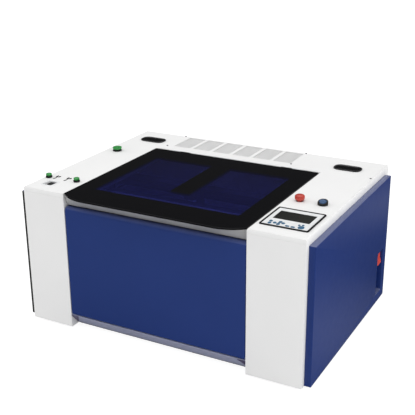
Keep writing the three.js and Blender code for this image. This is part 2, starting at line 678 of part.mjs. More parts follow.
// A flanged belt pulley about the vertical axis, on a shaft or bored for a stud.
function pulleyWheel(shaftSpan) {
  const half = PULLEY.width / 2;
  const rim = half + PULLEY.flangeWidth;
  const wheel = turned([
    [0, -rim],
    [PULLEY.flange, -rim],
    [PULLEY.flange, -half],
    [PULLEY.radius, -half],
    [PULLEY.radius, half],
    [PULLEY.flange, half],
    [PULLEY.flange, rim],
    [0, rim],
  ]);
  if (shaftSpan) return join(wheel, rodZ(PULLEY.shaft, 0, 0, shaftSpan, SMALL_ROUND));
  return cut(wheel, rodZ(PULLEY.bore, 0, 0, [-rim - 1, rim + 1], SMALL_ROUND));
}

function motorBody(shaftAlong) {
  const half = MOTOR.side / 2;
  const length = [0, MOTOR.length];
  const block = box([-half, half], [-half, half], length);
  const body = cut(block, rodZ(PULLEY.shaft + 0.6, 0, 0, [-1, 8], SMALL_ROUND));
  return shaftAlong === "y" ? body.rotateX(-Math.PI / 2) : body.rotateY(-Math.PI / 2);
}

// The inverted channel at each end of the gantry that runs on a guide bar.
function gantryShoe(barX) {
  const y = span(GANTRY.y, 70);
  const shelfTop = RAIL.shelfZ + RAIL.shelf;
  const channel = [shelfTop + 1, shelfTop + RAIL.height + 0.4];
  const shoe = box(shrink(barX, -4), y, [shelfTop + 2, GANTRY.bottom + 1]);
  return cut(shoe, box(shrink(barX, -0.4), shrink(y, -1), channel));
}

function gantryBeam() {
  const x = [CHAMBER.left + 4, CHAMBER.right - 4];
  const y = span(GANTRY.y, GANTRY.beamDepth);
  const z = [GANTRY.bottom, GANTRY.bottom + GANTRY.beamHeight];
  const tube = cut(box(x, y, z), box(shrink(x, -1), shrink(y, GANTRY.wall), shrink(z, GANTRY.wall)));
  const rail = box(X_RAIL.x, [y[0] - X_RAIL.depth, y[0] + 1], X_RAIL.z);
  const leftBar = [CHAMBER.left + 6, CHAMBER.left + 6 + RAIL.width];
  const rightBar = [CHAMBER.right - 6 - RAIL.width, CHAMBER.right - 6];
  const tabX = [CHAMBER.left + 22.5, CHAMBER.left + 25.5];
  const beltTop = Y_DRIVE.z + BELT.inner;
  const tab = box(tabX, span(GANTRY.y, 30), [beltTop - 5, GANTRY.bottom + 1]);
  const clamp = box([Y_DRIVE.beltX - 3, tabX[1]], span(GANTRY.y, 30), [beltTop - 5, beltTop - CLEARANCE]);
  const idlerStud = rodY(2.4, X_DRIVE.idlerX, [X_DRIVE.beltY - 4, y[0] + 1], X_AXIS_Z, SMALL_ROUND);
  const whole = join(tube, rail, gantryShoe(leftBar), gantryShoe(rightBar), tab, clamp, idlerStud);
  return cut(whole, rodY(PULLEY.shaft + 2, X_DRIVE.pulleyX, shrink(y, -2), X_AXIS_Z));
}

// The carriage hooks round the beam's front rail and holds the last mirror above the focus tube.
function headCarriage() {
  const x = span(HEAD.x, HEAD.plateWidth);
  const beamFront = GANTRY.y - GANTRY.beamDepth / 2;
  const plateY = [beamFront - 16, beamFront - 10.5];
  const face = box(x, plateY, [350, 412]);
  const shoe = cut(
    box(shrink(x, 4), [plateY[1] - 1, beamFront - 1], shrink(X_RAIL.z, -3)),
    box(shrink(x, -1), [beamFront - X_RAIL.depth - 0.4, beamFront], shrink(X_RAIL.z, -0.4)),
  );
  const tubeHolder = cut(
    box(span(HEAD.x, 40), [HEAD.tubeY - 18, plateY[1] - 1], [350, 368]),
    rodZ(HEAD.tubeRadius + 0.2, HEAD.x, HEAD.tubeY, [340, 372]),
  );
  const mirrorBox = box(span(HEAD.x, 36), [HEAD.tubeY - 18, plateY[1] - 1], [380, 412]);
  const spine = box(span(HEAD.x, 36), [plateY[0] - 3, plateY[1] - 1], [350, 412]);
  const beltTop = X_AXIS_Z + BELT.inner + BELT.thickness + CLEARANCE;
  const clamp = box(span(HEAD.x, 24), [plateY[1] - 1, X_DRIVE.beltY + 3], [beltTop, beltTop + 5]);
  return join(face, shoe, tubeHolder, mirrorBox, spine, clamp);
}

function focusTube() {
  return turned(
    [
      [2, HEAD.nozzleZ],
      [4, HEAD.nozzleZ],
      [9, 308],
      [HEAD.tubeRadius, 314],
      [HEAD.tubeRadius, 379],
      [HEAD.tubeRadius - 3, 379],
      [HEAD.tubeRadius - 3, 312],
      [2, 300],
      [2, HEAD.nozzleZ],
    ],
    ROUND,
  );
}

function addMotionSystem() {
  const gantry = new THREE.Group();
  laserCutter.add(gantry);
  add("gantry_beam", gantryBeam(), aluminium, [0, 0, 0], gantry);
  const xBelt = beltLoop(X_DRIVE.pulleyX - X_DRIVE.idlerX, BELT.width).rotateX(Math.PI / 2);
  const xMiddle = (X_DRIVE.pulleyX + X_DRIVE.idlerX) / 2;
  add("x_belt", xBelt, rubber, [xMiddle, X_DRIVE.beltY, X_AXIS_Z], gantry);
  const motorY = GANTRY.y + GANTRY.beamDepth / 2 + CLEARANCE;
  add("x_motor", motorBody("y"), blackPaint, [X_DRIVE.pulleyX, motorY, X_AXIS_Z], gantry);
  const shaftLength = motorY + 5 - X_DRIVE.beltY;
  const xPulley = pulleyWheel([-shaftLength, 0]).rotateX(Math.PI / 2);
  add("x_drive_pulley", xPulley, steel, [X_DRIVE.pulleyX, X_DRIVE.beltY, X_AXIS_Z], gantry);
  const xIdler = pulleyWheel().rotateX(Math.PI / 2);
  add("x_idler_pulley", xIdler, steel, [X_DRIVE.idlerX, X_DRIVE.beltY, X_AXIS_Z], gantry);
  add("head_carriage", headCarriage(), blackPaint, [0, 0, 0], gantry);
  add("focus_tube", focusTube(), aluminium, [HEAD.x, HEAD.tubeY, 0], gantry);

  const yBelt = beltLoop(Y_DRIVE.pulleyY - Y_DRIVE.idlerY, BELT.width).rotateX(Math.PI / 2).rotateZ(Math.PI / 2);
  const yMiddle = (Y_DRIVE.pulleyY + Y_DRIVE.idlerY) / 2;
  add("y_belt", yBelt, rubber, [Y_DRIVE.beltX, yMiddle, Y_DRIVE.z]);
  const motorX = CHAMBER.left - SHEET - CLEARANCE;
  add("y_motor", motorBody("x"), blackPaint, [motorX, Y_DRIVE.pulleyY, Y_DRIVE.z]);
  const yPulley = pulleyWheel([motorX - 5 - Y_DRIVE.beltX, 0]).rotateY(Math.PI / 2);
  add("y_drive_pulley", yPulley, steel, [Y_DRIVE.beltX, Y_DRIVE.pulleyY, Y_DRIVE.z]);
  const yIdler = pulleyWheel().rotateY(Math.PI / 2);
  add("y_idler_pulley", yIdler, steel, [Y_DRIVE.beltX, Y_DRIVE.idlerY, Y_DRIVE.z]);
}

// ---------------------------------------------------------------- lifting bed
function bedFrame() {
  const ring = cut(
    box(BED.x, BED.y, BED.z),
    box(shrink(BED.x, BED.member + 10), shrink(BED.y, BED.member + 10), shrink(BED.z, -1)),
    box(shrink(BED.x, BED.member), shrink(BED.y, BED.member), [BED.z[0] + BED.ledge, BED.z[1] + 1]),
  );
  const earZ = [BED.z[0] + 4, BED.z[1] - 5];
  const leftEar = box([LIFT.leftX - 14, BED.x[0] + 1], span(LIFT.y, 28), earZ);
  const rightEar = box([BED.x[1] - 1, LIFT.rightX + 14], span(LIFT.y, 28), earZ);
  const bores = [LIFT.leftX, LIFT.rightX].map((x) => rodZ(LIFT.bore, x, LIFT.y, shrink(BED.z, -5)));
  return cut(join(ring, leftEar, rightEar), ...bores);
}

function addBed() {
  const bed = new THREE.Group();
  laserCutter.add(bed);
  add("bed_frame", bedFrame(), aluminium, [0, 0, 0], bed);
  const gap = BED.member + 0.5;
  const panel = box(shrink(BED.x, gap), shrink(BED.y, gap), [BED.z[0] + BED.ledge + CLEARANCE, BED.top]);
  add("honeycomb_panel", panel, aluminium, [0, 0, 0], bed);
  add("lead_screw_left", rodZ(LIFT.radius, 0, 0, LIFT.z, SMALL_ROUND), steel, [LIFT.leftX, LIFT.y, 0]);
  add("lead_screw_right", rodZ(LIFT.radius, 0, 0, LIFT.z, SMALL_ROUND), steel, [LIFT.rightX, LIFT.y, 0]);
}

// ---------------------------------------------------------------- laser source and rear services
function tubeCradle() {
  const shelfZ = TUBE.z - TUBE.radius - 28;
  const shelf = box([-280, 280], [CHAMBER.rear + SHEET + CLEARANCE, TUBE.y + 40], [shelfZ, shelfZ + 3]);
  const clamps = TUBE.clampX.map((x) => {
    const ring = box(span(x, 24), span(TUBE.y, 2 * TUBE.radius + 18), [shelfZ + 2, TUBE.z + TUBE.radius + 8]);
    return cut(ring, rodX(TUBE.radius + 0.4, span(x, 30), TUBE.y, TUBE.z));
  });
  return join(shelf, ...clamps);
}

function laserTube() {
  return cut(
    rodX(TUBE.radius, TUBE.x, TUBE.y, TUBE.z),
    rodX(TUBE.radius - TUBE.wall, shrink(TUBE.x, -1), TUBE.y, TUBE.z),
  );
}

function exhaustPort() {
  const outside = REAR - SHEET;
  const flange = box(span(EXHAUST.x, 2 * EXHAUST.flange), [outside, REAR + 1], span(EXHAUST.z, 2 * EXHAUST.flange));
  const sleeve = rodY(EXHAUST.radius, EXHAUST.x, [REAR - 12, REAR + EXHAUST.reach], EXHAUST.z);
  const bore = rodY(EXHAUST.radius - EXHAUST.wall, EXHAUST.x, [REAR - 20, REAR + 99], EXHAUST.z);
  return cut(join(flange, sleeve), bore);
}

function mainsInlet() {
  const outside = REAR - SHEET;
  const rim = [span(INLET.x, INLET.width + 2 * INLET.rim), span(INLET.z, INLET.height + 2 * INLET.rim)];
  const flange = box(rim[0], [outside, REAR + 1], rim[1]);
  const body = box(span(INLET.x, INLET.width), [REAR - 28, outside + 1], span(INLET.z, INLET.height));
  const socket = box(span(INLET.x, 25), [REAR - 18, REAR + 2], span(INLET.z, 18));
  return cut(join(flange, body), socket);
}

function addSource() {
  add("laser_tube", laserTube(), tubeGlass);
  add("tube_cradle", tubeCradle(), aluminium);
  add("laser_power_supply", box([330, 436], [-100, 120], [34, 134]), aluminium);
  add("exhaust_port", exhaustPort(), blackPlastic);
  add("mains_inlet", mainsInlet(), blackPlastic);
}

// ---------------------------------------------------------------- operator controls
// A round bezel with its barrel through the top cover; the origin is on the cover's surface.
function buttonBezel(size, rimHeight, recess) {
  const inner = size.stem + 1;
  const recessed = recess && [
    [recess.radius, rimHeight],
    [recess.radius, recess.floor],
    [inner, recess.floor],
  ];
  return turned([
    [inner, -size.depth],
    [size.barrel, -size.depth],
    [size.barrel, CLEARANCE],
    [size.bezel, CLEARANCE],
    [size.bezel, rimHeight - 1],
    [size.bezel - 1, rimHeight],
    ...(recessed || [[inner, rimHeight]]),
    [inner, -size.depth],
  ]);
}

// The start button's collar shrouds its rear and slopes down to the operator.
function startBezel() {
  const recess = { radius: START_CAP.radius + 0.4, floor: BEZEL_RIM.startRecess };
  const collar = buttonBezel(BUTTON, BEZEL_RIM.start, recess);
  const [front, rear] = span(0, 2 * BUTTON.bezel + 2);
  const above = polygon([[front, BEZEL_RIM.startFront], [rear, BEZEL_RIM.start], [front, BEZEL_RIM.start + 1]]);
  return cut(collar, profileX(above, [front, rear]));
}

// A push-button cap on its stem, dished or crowned on top.
function buttonCap(size, cap) {
  return turned([
    [0, -size.depth + 5],
    [size.stem, -size.depth + 5],
    [size.stem, cap.bottom],
    [cap.radius, cap.bottom],
    [cap.radius, cap.top - 1],
    [cap.radius - 1, cap.top],
    [cap.radius - 2.5, cap.top],
    [0, cap.top - cap.dish],
  ]);
}

function emergencyStopHead() {
  return turned([
    [0, -20],
    [7, -20],
    [7, 4.6],
    [13.6, 4.6],
    [14.4, 6.5],
    [14.4, 14.6],
    [13.2, 17],
    [9.5, 18.4],
    [0, 19],
  ]);
}

// The mains rocker sits on the pocket's shelf with its lower half standing out, the "off" position.
function powerRocker() {
  const outline = polygon([
    [-4, -16],
    [2, -19.5],
    [ROCKER.reach, -19],
    [ROCKER.recess + 0.5, 0],
    [ROCKER.recess, 19.5],
    [-4, 16],
  ]);
  const geometry = new THREE.ExtrudeGeometry(outline, { depth: ROCKER.width, bevelEnabled: false });
  return geometry.rotateX(Math.PI / 2).translate(0, ROCKER.width / 2, 0);
}

function addController() {
  const surface = TOP + CLEARANCE;
  const inside = [shrink(CONTROLLER.x, CONTROLLER.frame), shrink(CONTROLLER.y, CONTROLLER.frame)];
  const frame = cut(
    box(CONTROLLER.x, CONTROLLER.y, [surface, surface + CONTROLLER.thickness]),
    box(inside[0], inside[1], [TOP - 1, TOP + 9]),
  );
  const membrane = cut(
    box(shrink(inside[0], 0.3), shrink(inside[1], 0.3), [surface, surface + 2]),
    box(shrink(SCREEN.x, -0.5), shrink(SCREEN.y, -0.5), [TOP - 1, TOP + 9]),
  );
  add("controller_bezel", frame, blackPlastic);
  add("controller_membrane", membrane, whitePlastic);
  add("controller_screen", box(SCREEN.x, SCREEN.y, [surface, surface + 1.6]), screenGlass);
}

// A shallow well whose floor falls to the rear, where the data sockets face the operator.
function dataPort() {
  const barrel = box(DATA_PORT.x, DATA_PORT.y, [TOP - DATA_PORT.depth, TOP + 1]);
  const rim = box(
    shrink(DATA_PORT.x, -DATA_PORT.rim),
    shrink(DATA_PORT.y, -DATA_PORT.rim),
    [TOP + CLEARANCE, TOP + 1.5],
  );
  const [front, rear] = shrink(DATA_PORT.y, 2);
  const well = polygon([[front, TOP + 3], [front, TOP - 1], [rear, TOP - DATA_PORT.depth + 3], [rear, TOP + 3]]);
  return cut(join(barrel, rim), profileX(well, shrink(DATA_PORT.x, 2)));
}

function addControls() {
  const at = ([x, y]) => [x, y, TOP];
  add("estop_head", emergencyStopHead(), redPlastic, at(ESTOP_AT));
  add("start_button_bezel", startBezel(), blackPlastic, at(START_AT));
  add("start_button_cap", buttonCap(BUTTON, START_CAP), bluePlastic, at(START_AT));
  add("lamp_button_bezel", buttonBezel(BUTTON, BEZEL_RIM.lamp), blackPlastic, at(LAMP_AT));
  add("lamp_button_cap", buttonCap(BUTTON, LAMP_CAP), greenPlastic, at(LAMP_AT));
  add("fan_button_bezel", buttonBezel(SMALL_BUTTON, BEZEL_RIM.small), blackPlastic, at(FAN_AT));
  add("fan_button_cap", buttonCap(SMALL_BUTTON, SMALL_CAP), greenPlastic, at(FAN_AT));
  add("air_button_bezel", buttonBezel(SMALL_BUTTON, BEZEL_RIM.small), blackPlastic, at(AIR_AT));
  add("air_button_cap", buttonCap(SMALL_BUTTON, SMALL_CAP), greenPlastic, at(AIR_AT));
  const rockerX = RIGHT + SIDE_PANEL.depth - POCKET.shelfDepth;
  add("power_rocker", powerRocker(), redPlastic, [rockerX, ROCKER.y, ROCKER.z]);
  add("data_port", dataPort(), whitePlastic);
  addController();
}

addCabinet();
addChamber();
addLidAndDoor();
addMotionSystem();
addBed();
addSource();
addControls();

export default laserCutter;
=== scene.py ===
"""Desktop laser cutter: finishes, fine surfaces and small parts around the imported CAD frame.

Shapes are built in millimetres in the frame's own axes (+Z up, +Y to the rear) as (points, faces)
pairs, and become objects in metres when piece() is called.
"""

import math

import bmesh
import bpy
from mathutils import Matrix, Quaternion, Vector


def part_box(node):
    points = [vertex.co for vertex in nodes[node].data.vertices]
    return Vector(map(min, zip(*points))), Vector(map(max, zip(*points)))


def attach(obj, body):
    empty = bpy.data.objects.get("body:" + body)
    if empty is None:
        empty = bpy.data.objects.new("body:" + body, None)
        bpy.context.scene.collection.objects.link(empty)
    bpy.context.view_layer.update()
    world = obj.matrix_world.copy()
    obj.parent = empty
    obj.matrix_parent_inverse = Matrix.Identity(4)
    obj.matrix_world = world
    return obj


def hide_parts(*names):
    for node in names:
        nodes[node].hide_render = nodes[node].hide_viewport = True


MM = 0.001

# Camera: metres, degrees and millimetres of lens.
CAMERA_TARGET = Vector((-0.032, 0.0284, 0.3269))
CAMERA_DISTANCE = 2.709
CAMERA_AZIMUTH = 28.34
CAMERA_ELEVATION = 20.60
CAMERA_ROLL = -0.43
CAMERA_LENS = 73.38
SENSOR_WIDTH = 36

# Studio: how bright the sky and the floor are as fill light and in reflections. Each pool is a patch of
# painted light on the floor that only reflections see: x, y, radius, strength at its centre.
AMBIENT = 0.98
GLOSS_SKY = 0.03
GLOSS_ZENITH = 1.6
FLOOR_SIZE = 30
FLOOR_BOUNCE = 0.75
FLOOR_GLOSS = 0.04
PAINTED_LIGHT_POOLS = ((0.62, -0.05, 0.52, 0.46), (1.0, 1.3, 0.6, 0.45))

# How bright paint stays in a tight corner, where painted shade darkens its colour.
PAINTED_CORNER_SHADE = 0.94

# Lid glass, in millimetres from the glass's edges: the printed border, the rib printed in its middle,
# and the colours of the clear part. The fill colour is the clear part's for every ray but the camera's.
GLASS_BORDER = {"left": 60, "right": 57.5, "front": 104, "rear": 91, "corner": 8}
GLASS_RIB = {"left": 267, "right": 332, "front": 190, "corner": 4}
GLASS_TINT = (0.18, 0.20, 0.44, 1.0)
FRONT_HAZE = (0.0042, 0.0047, 0.025, 1.0)
REAR_HAZE = (0.0047, 0.0047, 0.0155, 1.0)
GLASS_FILL = (1.25, 1.25, 1.35, 1.0)
PRINT_EDGE = 0.0004

# Cabinet, in millimetres.
COVER_TOP = 450.0
FLANGE_FACE = 351.0
PANEL_CORNER = 2.5
POCKET = {"rear": 31, "width": 55, "bottom": 30, "height": 146, "lip": 1.5, "sheet": 2, "corner": 5}
SHELF = {"bottom": 122, "depth": 17}
DOOR_FOLD = 13
DOOR_SIDE_FOLD = 2
DOOR_SHEET = 2
SILL_SLOPE = 36
VENT_PITCH = 4.6
VENT_HOLE = 1.9
GRIP_CORNER = 20
COLLAR_SLOPE = 0.29
LIGHT_BAR = {"left": -241, "right": 239, "front": 144, "cover": 28, "channel": 26}
FLANGE_SCREW = 58
BARBS_AT = (-340, -300, -260)
BARB_HEIGHT = 110

# The two fan signs, the gap round the screen, and the keys from the membrane's rear right corner.
ICON_SIZE = (9, 21)
ICONS_AT = ((-417, -236), (-376, -236))
SCREEN_GAP = 0.3
ROUND_KEY = (9.5, 11)
SMALL_KEY = (7, 7)
OVAL_KEY = (12, 7)
BIG_KEY = (17, 20)
KEYS = (
    (-112.0, -103.4, ROUND_KEY), (-110.1, -118.0, ROUND_KEY), (-97.4, -111.9, ROUND_KEY),
    (-85.4, -100.4, ROUND_KEY), (-75.2, -106.6, ROUND_KEY), (-85.7, -117.9, ROUND_KEY),
    (-86.5, -109.0, SMALL_KEY), (-58.7, -119.4, OVAL_KEY), (-42.6, -120.1, OVAL_KEY),
    (-32.3, -100.5, SMALL_KEY), (-22.2, -97.0, SMALL_KEY), (-21.7, -114.0, BIG_KEY),
)

# Drives, bed and optics, in millimetres.
MIRROR_DROP = 29
BELT_RADIUS = 8.4
BELT_THICKNESS = 1.2
BELT_PITCH = 3.0
BELT_WIDTH = 6
PULLEY_TEETH = 16
PULLEY_WIDTH = 7
PULLEY_FLANGE = 10.5
SHAFT_RADIUS = 2.5
THREAD_LEAD = 4
COMB_PITCH = 12.0
COMB_RIM = 5.0

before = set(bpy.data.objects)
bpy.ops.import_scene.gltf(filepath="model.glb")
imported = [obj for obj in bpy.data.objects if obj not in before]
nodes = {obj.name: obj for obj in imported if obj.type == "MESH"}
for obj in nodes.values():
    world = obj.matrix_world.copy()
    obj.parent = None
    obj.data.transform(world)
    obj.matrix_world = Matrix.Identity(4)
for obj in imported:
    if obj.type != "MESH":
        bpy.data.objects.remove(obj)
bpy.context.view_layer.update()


# --- node materials
class Shader:
    """A node material with a Principled shader, built by small steps."""

    def __init__(self, name):
        self.material = bpy.data.materials.new(name)
        self.material.use_nodes = True
        self.tree = self.material.node_tree
        self.surface = self.tree.nodes["Principled BSDF"]
        self.output = self.tree.nodes["Material Output"]
        self.position = self.add("ShaderNodeTexCoord").outputs["Object"]

    def add(self, kind, **settings):
        """A new node, with its settings."""
        node = self.tree.nodes.new(kind)
        for key, value in settings.items():
            setattr(node, key, value)
        return node

    def feed(self, socket, value):
        """Sets a socket to a number or colour, or links it to another node's output."""
        if isinstance(value, bpy.types.NodeSocket):
            self.tree.links.new(value, socket)
        else:
            socket.default_value = value

    def set(self, **inputs):
        """Feeds the Principled shader's inputs, with underscores for spaces in their names."""
        for name, value in inputs.items():
            self.feed(self.surface.inputs[name.replace("_", " ")], value)

    def math(self, operation, *values):
        """The result of a sum on numbers or outputs."""
        node = self.add("ShaderNodeMath", operation=operation)
        for socket, value in zip(node.inputs, values):
            self.feed(socket, value)
        return node.outputs[0]

    def noise(self, scale, detail=2.0, stretch=(1, 1, 1)):
        """Noise over the piece's own position, scale in features per metre."""
        mapping = self.add("ShaderNodeMapping")
        self.feed(mapping.inputs["Vector"], self.position)
        mapping.inputs["Scale"].default_value = stretch
        texture = self.add("ShaderNodeTexNoise")
        self.feed(texture.inputs["Vector"], mapping.outputs[0])
        texture.inputs["Scale"].default_value = scale
        texture.inputs["Detail"].default_value = detail
        return texture.outputs["Fac"]

    def cells(self, scale):
        """A random shade for each cell of a Voronoi pattern, scale in cells per metre."""
        texture = self.add("ShaderNodeTexVoronoi")
        self.feed(texture.inputs["Vector"], self.position)
        texture.inputs["Scale"].default_value = scale
        return texture.outputs["Color"]

    def remap(self, value, low, high, start=0.3, end=0.7):
        """Maps start..end of a value to low..high, clamped."""
        node = self.add("ShaderNodeMapRange")
        for socket, number in zip(node.inputs, (value, start, end, low, high)):
            self.feed(socket, number)
        return node.outputs[0]

    def mix(self, factor, first, second):
        """A colour between two colours."""
        node = self.add("ShaderNodeMix", data_type="RGBA")
        self.feed(node.inputs[0], factor)
        self.feed(node.inputs[6], first)
        self.feed(node.inputs[7], second)
        return node.outputs[2]

    def split(self, vector):
        """The x, y and z of a vector."""
        node = self.add("ShaderNodeSeparateXYZ")
        self.feed(node.inputs[0], vector)
        return node.outputs

    def blend(self, factor, first, second):
        """A shader between two shader nodes."""
        node = self.add("ShaderNodeMixShader")
        for socket, value in zip(node.inputs, (factor, first.outputs[0], second.outputs[0])):
            self.feed(socket, value)
        return node

    def bump(self, height, strength, distance):
        """A normal bent by a height, with its depth in metres."""
        node = self.add("ShaderNodeBump")
        self.feed(node.inputs["Height"], height)
        node.inputs["Strength"].default_value = strength
        node.inputs["Distance"].default_value = distance
        return node.outputs[0]

    def occlusion(self, distance):
        """How open the surface is within a distance: 1 in the open, 0 in a corner."""
        node = self.add("ShaderNodeAmbientOcclusion", samples=4)
        node.inputs["Distance"].default_value = distance
        return node.outputs["AO"]


def shade(color, factor):
    """A colour made lighter or darker, with alpha."""
    return tuple(min(1.0, c * factor) for c in color[:3]) + (1.0,)


def powder_coat(name, color, roughness, specular, spread, peel=0.25, painted_top_light=0.0):
    """Baked powder paint: fine orange peel, slight cloudiness, painted shade darkening its crevices and a
    painted highlight on top faces.
    """
    s = Shader(name)
    clouds = s.remap(s.noise(6.0, 4.0), 0.0, 1.0)
    tone = s.mix(clouds, shade(color, 1 - spread), shade(color, 1 + spread))
    # Painted highlight: faces that look up are mixed towards white, as if lit from above.
    upward = s.split(s.add("ShaderNodeNewGeometry").outputs["Normal"])[2]
    tone = s.mix(s.remap(upward, 0.0, painted_top_light, 0.4, 0.95), tone, (1.0, 1.0, 1.0, 1.0))
    # Painted shade: an occlusion node darkens the paint's colour in tight corners and creases.
    painted_corner_shade = s.remap(s.occlusion(0.012), PAINTED_CORNER_SHADE, 1.0, 0.35, 0.95)
    scale = s.add("ShaderNodeVectorMath", operation="SCALE")
    s.feed(scale.inputs[0], tone)
    s.feed(scale.inputs["Scale"], painted_corner_shade)
    fine = s.remap(s.noise(40.0, 3.0), roughness - 0.02, roughness + 0.02)
    s.set(Base_Color=scale.outputs[0], Roughness=fine, Specular_IOR_Level=specular)
    s.set(Normal=s.bump(s.noise(700.0, 2.0), peel, 0.0003))
    return s.material


def moulded(name, color, roughness=0.4, relief=0.2, glow=0.0, coat=0.0, specular=0.5):
    """Moulded plastic: fine spark-eroded grain, slight flow marks, and a little depth of colour."""
    s = Shader(name)
    flow = s.remap(s.noise(60.0, 3.0), 0.0, 1.0)
    s.set(Base_Color=s.mix(flow, shade(color, 0.94), shade(color, 1.06)))
    s.set(Roughness=s.remap(s.noise(300.0), roughness - 0.06, roughness + 0.08))
    s.set(Normal=s.bump(s.noise(1800.0, 1.0), relief, 0.0001), Specular_IOR_Level=specular)
    s.set(Subsurface_Weight=glow, Subsurface_Radius=(0.004, 0.003, 0.003), Coat_Weight=coat)
    return s.material


def brushed(name, color, roughness=0.35, stretch=(1, 60, 60), metal=0.8):
    """Drawn or brushed metal with streaks along one axis."""
    s = Shader(name)
    streak = s.noise(30.0, 5.0, stretch)
    blotch = s.remap(s.noise(9.0, 3.0), 0.0, 1.0)
    s.set(Base_Color=s.mix(blotch, shade(color, 0.88), shade(color, 1.08)), Metallic=metal)
    s.set(Roughness=s.remap(streak, roughness - 0.08, roughness + 0.12))
    s.set(Normal=s.bump(streak, 0.15, 0.00015))
    return s.material


def galvanised(name, color):
    """Zinc-dipped sheet with its crystal spangle."""
    s = Shader(name)
    tone = s.remap(s.cells(90.0), 0.0, 1.0, 0.0, 1.0)
    s.set(Base_Color=s.mix(tone, shade(color, 0.8), shade(color, 1.12)), Metallic=0.35)
    s.set(Roughness=s.remap(tone, 0.36, 0.55, 0.0, 1.0))
    s.set(Normal=s.bump(s.noise(220.0, 4.0), 0.12, 0.0002))
    return s.material


def soft_rubber(name, color):
    """Matt rubber with a little dust on it."""
    s = Shader(name)
    dust = s.remap(s.noise(35.0, 5.0), 0.0, 1.0, 0.45, 0.75)
    s.set(Base_Color=s.mix(dust, color, shade(color, 1.9)), Roughness=0.75, Specular_IOR_Level=0.3)
    s.set(Normal=s.bump(s.noise(1500.0, 2.0), 0.3, 0.0002))
    return s.material


def tube_glass():
    """Borosilicate glass of the laser tube, with a faint violet cast and a frosted water jacket."""
    s = Shader("tube_glass")
    frost = s.remap(s.noise(50.0, 4.0), 0.1, 0.3)
    s.set(Base_Color=(0.62, 0.66, 0.78, 1.0), Roughness=frost, Coat_Weight=0.6, Coat_Roughness=0.05)
    s.set(Normal=s.bump(s.noise(80.0, 3.0), 0.05, 0.0004))
    return s.material


def screen_glass(low, high):
    """A dark liquid-crystal panel: a slow gradient under slightly speckled glass."""
    s = Shader("screen_glass")
    across = s.remap(s.split(s.position)[0], 0.0, 1.0, low.x * MM, high.x * MM)
    speckle = s.remap(s.noise(900.0, 1.0), 0.9, 1.1)
    tone = s.mix(across, (0.012, 0.013, 0.012, 1.0), (0.020, 0.021, 0.019, 1.0))
    s.set(Base_Color=tone, Roughness=s.math("MULTIPLY", speckle, 0.22), Specular_IOR_Level=0.45)
    s.set(Normal=s.bump(s.noise(30.0), 0.02, 0.0005))
    return s.material


def window_distance(s, place, x, y, radius):
    """Signed distance in metres from a rounded rectangle seen from above, negative inside."""
    reach = []
    for axis, span in ((0, x), (1, y)):
        centre = (span[0] + span[1]) / 2 * MM
        half = (span[1] - span[0]) / 2 * MM
        away = s.math("ABSOLUTE", s.math("SUBTRACT", place[axis], centre))
        reach.append(s.math("MAXIMUM", s.math("SUBTRACT", away, half - radius * MM), 0.0))
    squares = [s.math("MULTIPLY", r, r) for r in reach]
    return s.math("SUBTRACT", s.math("SQRT", s.math("ADD", *squares)), radius * MM)


def lid_glass_material(low, high):
    """Blue-tinted toughened glass with a black border and rib printed around two clear windows."""
    s = Shader("tinted_glass")
    place = s.split(s.position)
    x = (low.x + GLASS_BORDER["left"], high.x - GLASS_BORDER["right"])
    y = (low.y + GLASS_BORDER["front"], high.y - GLASS_BORDER["rear"])
    distance = window_distance(s, place, x, y, GLASS_BORDER["corner"])
    rib_x = (low.x + GLASS_RIB["left"], low.x + GLASS_RIB["right"])
    rib = window_distance(s, place, rib_x, (low.y + GLASS_RIB["front"], high.y), GLASS_RIB["corner"])
    border = s.remap(distance, 0.0, 1.0, -PRINT_EDGE, PRINT_EDGE)
    printed = s.math("MAXIMUM", border, s.remap(rib, 1.0, 0.0, -PRINT_EDGE, PRINT_EDGE))
    print_tone = s.remap(s.noise(5.0, 3.0), 0.85, 1.15)
    ink = s.mix(print_tone, (0.003, 0.003, 0.004, 1.0), (0.004, 0.004, 0.005, 1.0))
    s.set(Base_Color=ink, Roughness=s.remap(s.noise(25.0, 3.0), 0.05, 0.09), Specular_IOR_Level=0.4)
    s.set(Normal=s.bump(s.noise(4.0), 0.02, 0.002))
    clear = s.add("ShaderNodeBsdfTransparent")
    streaks = s.remap(s.noise(3.0, 4.0), 0.0, 1.0)
    tint = s.mix(streaks, shade(GLASS_TINT, 0.97), shade(GLASS_TINT, 1.03))
    eye = s.add("ShaderNodeLightPath").outputs["Is Camera Ray"]
    s.feed(clear.inputs[0], s.mix(eye, GLASS_FILL, tint))
    haze = s.add("ShaderNodeBsdfDiffuse")
    depth = s.remap(place[1], 0.0, 1.0, y[0] * MM, y[1] * MM)
    s.feed(haze.inputs[0], s.mix(depth, FRONT_HAZE, REAR_HAZE))
    body = s.add("ShaderNodeAddShader")
    s.feed(body.inputs[0], clear.outputs[0])
    s.feed(body.inputs[1], haze.outputs[0])
    gloss = s.add("ShaderNodeBsdfGlossy")
    s.feed(gloss.inputs["Roughness"], s.remap(s.noise(40.0, 3.0), 0.02, 0.06))
    fresnel = s.add("ShaderNodeFresnel")
    fresnel.inputs["IOR"].default_value = 1.45
    outside = s.math("SUBTRACT", 1.0, s.add("ShaderNodeNewGeometry").outputs["Backfacing"])
    window = s.blend(s.math("MULTIPLY", fresnel.outputs[0], outside), body, gloss)
    whole = s.blend(printed, window, s.surface)
    s.feed(s.output.inputs[0], whole.outputs[0])
    return s.material


def node_box(name):
    """The lowest and highest corners of a CAD node, in millimetres."""
    low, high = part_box(name)
    return low / MM, high / MM


def middle(name):
    """The centre of a CAD node's box, in millimetres."""
    low, high = node_box(name)
    return (low + high) / 2


def plan_centre(low, high):
    """The x and y of the centre of a box."""
    return ((low.x + high.x) / 2, (low.y + high.y) / 2)


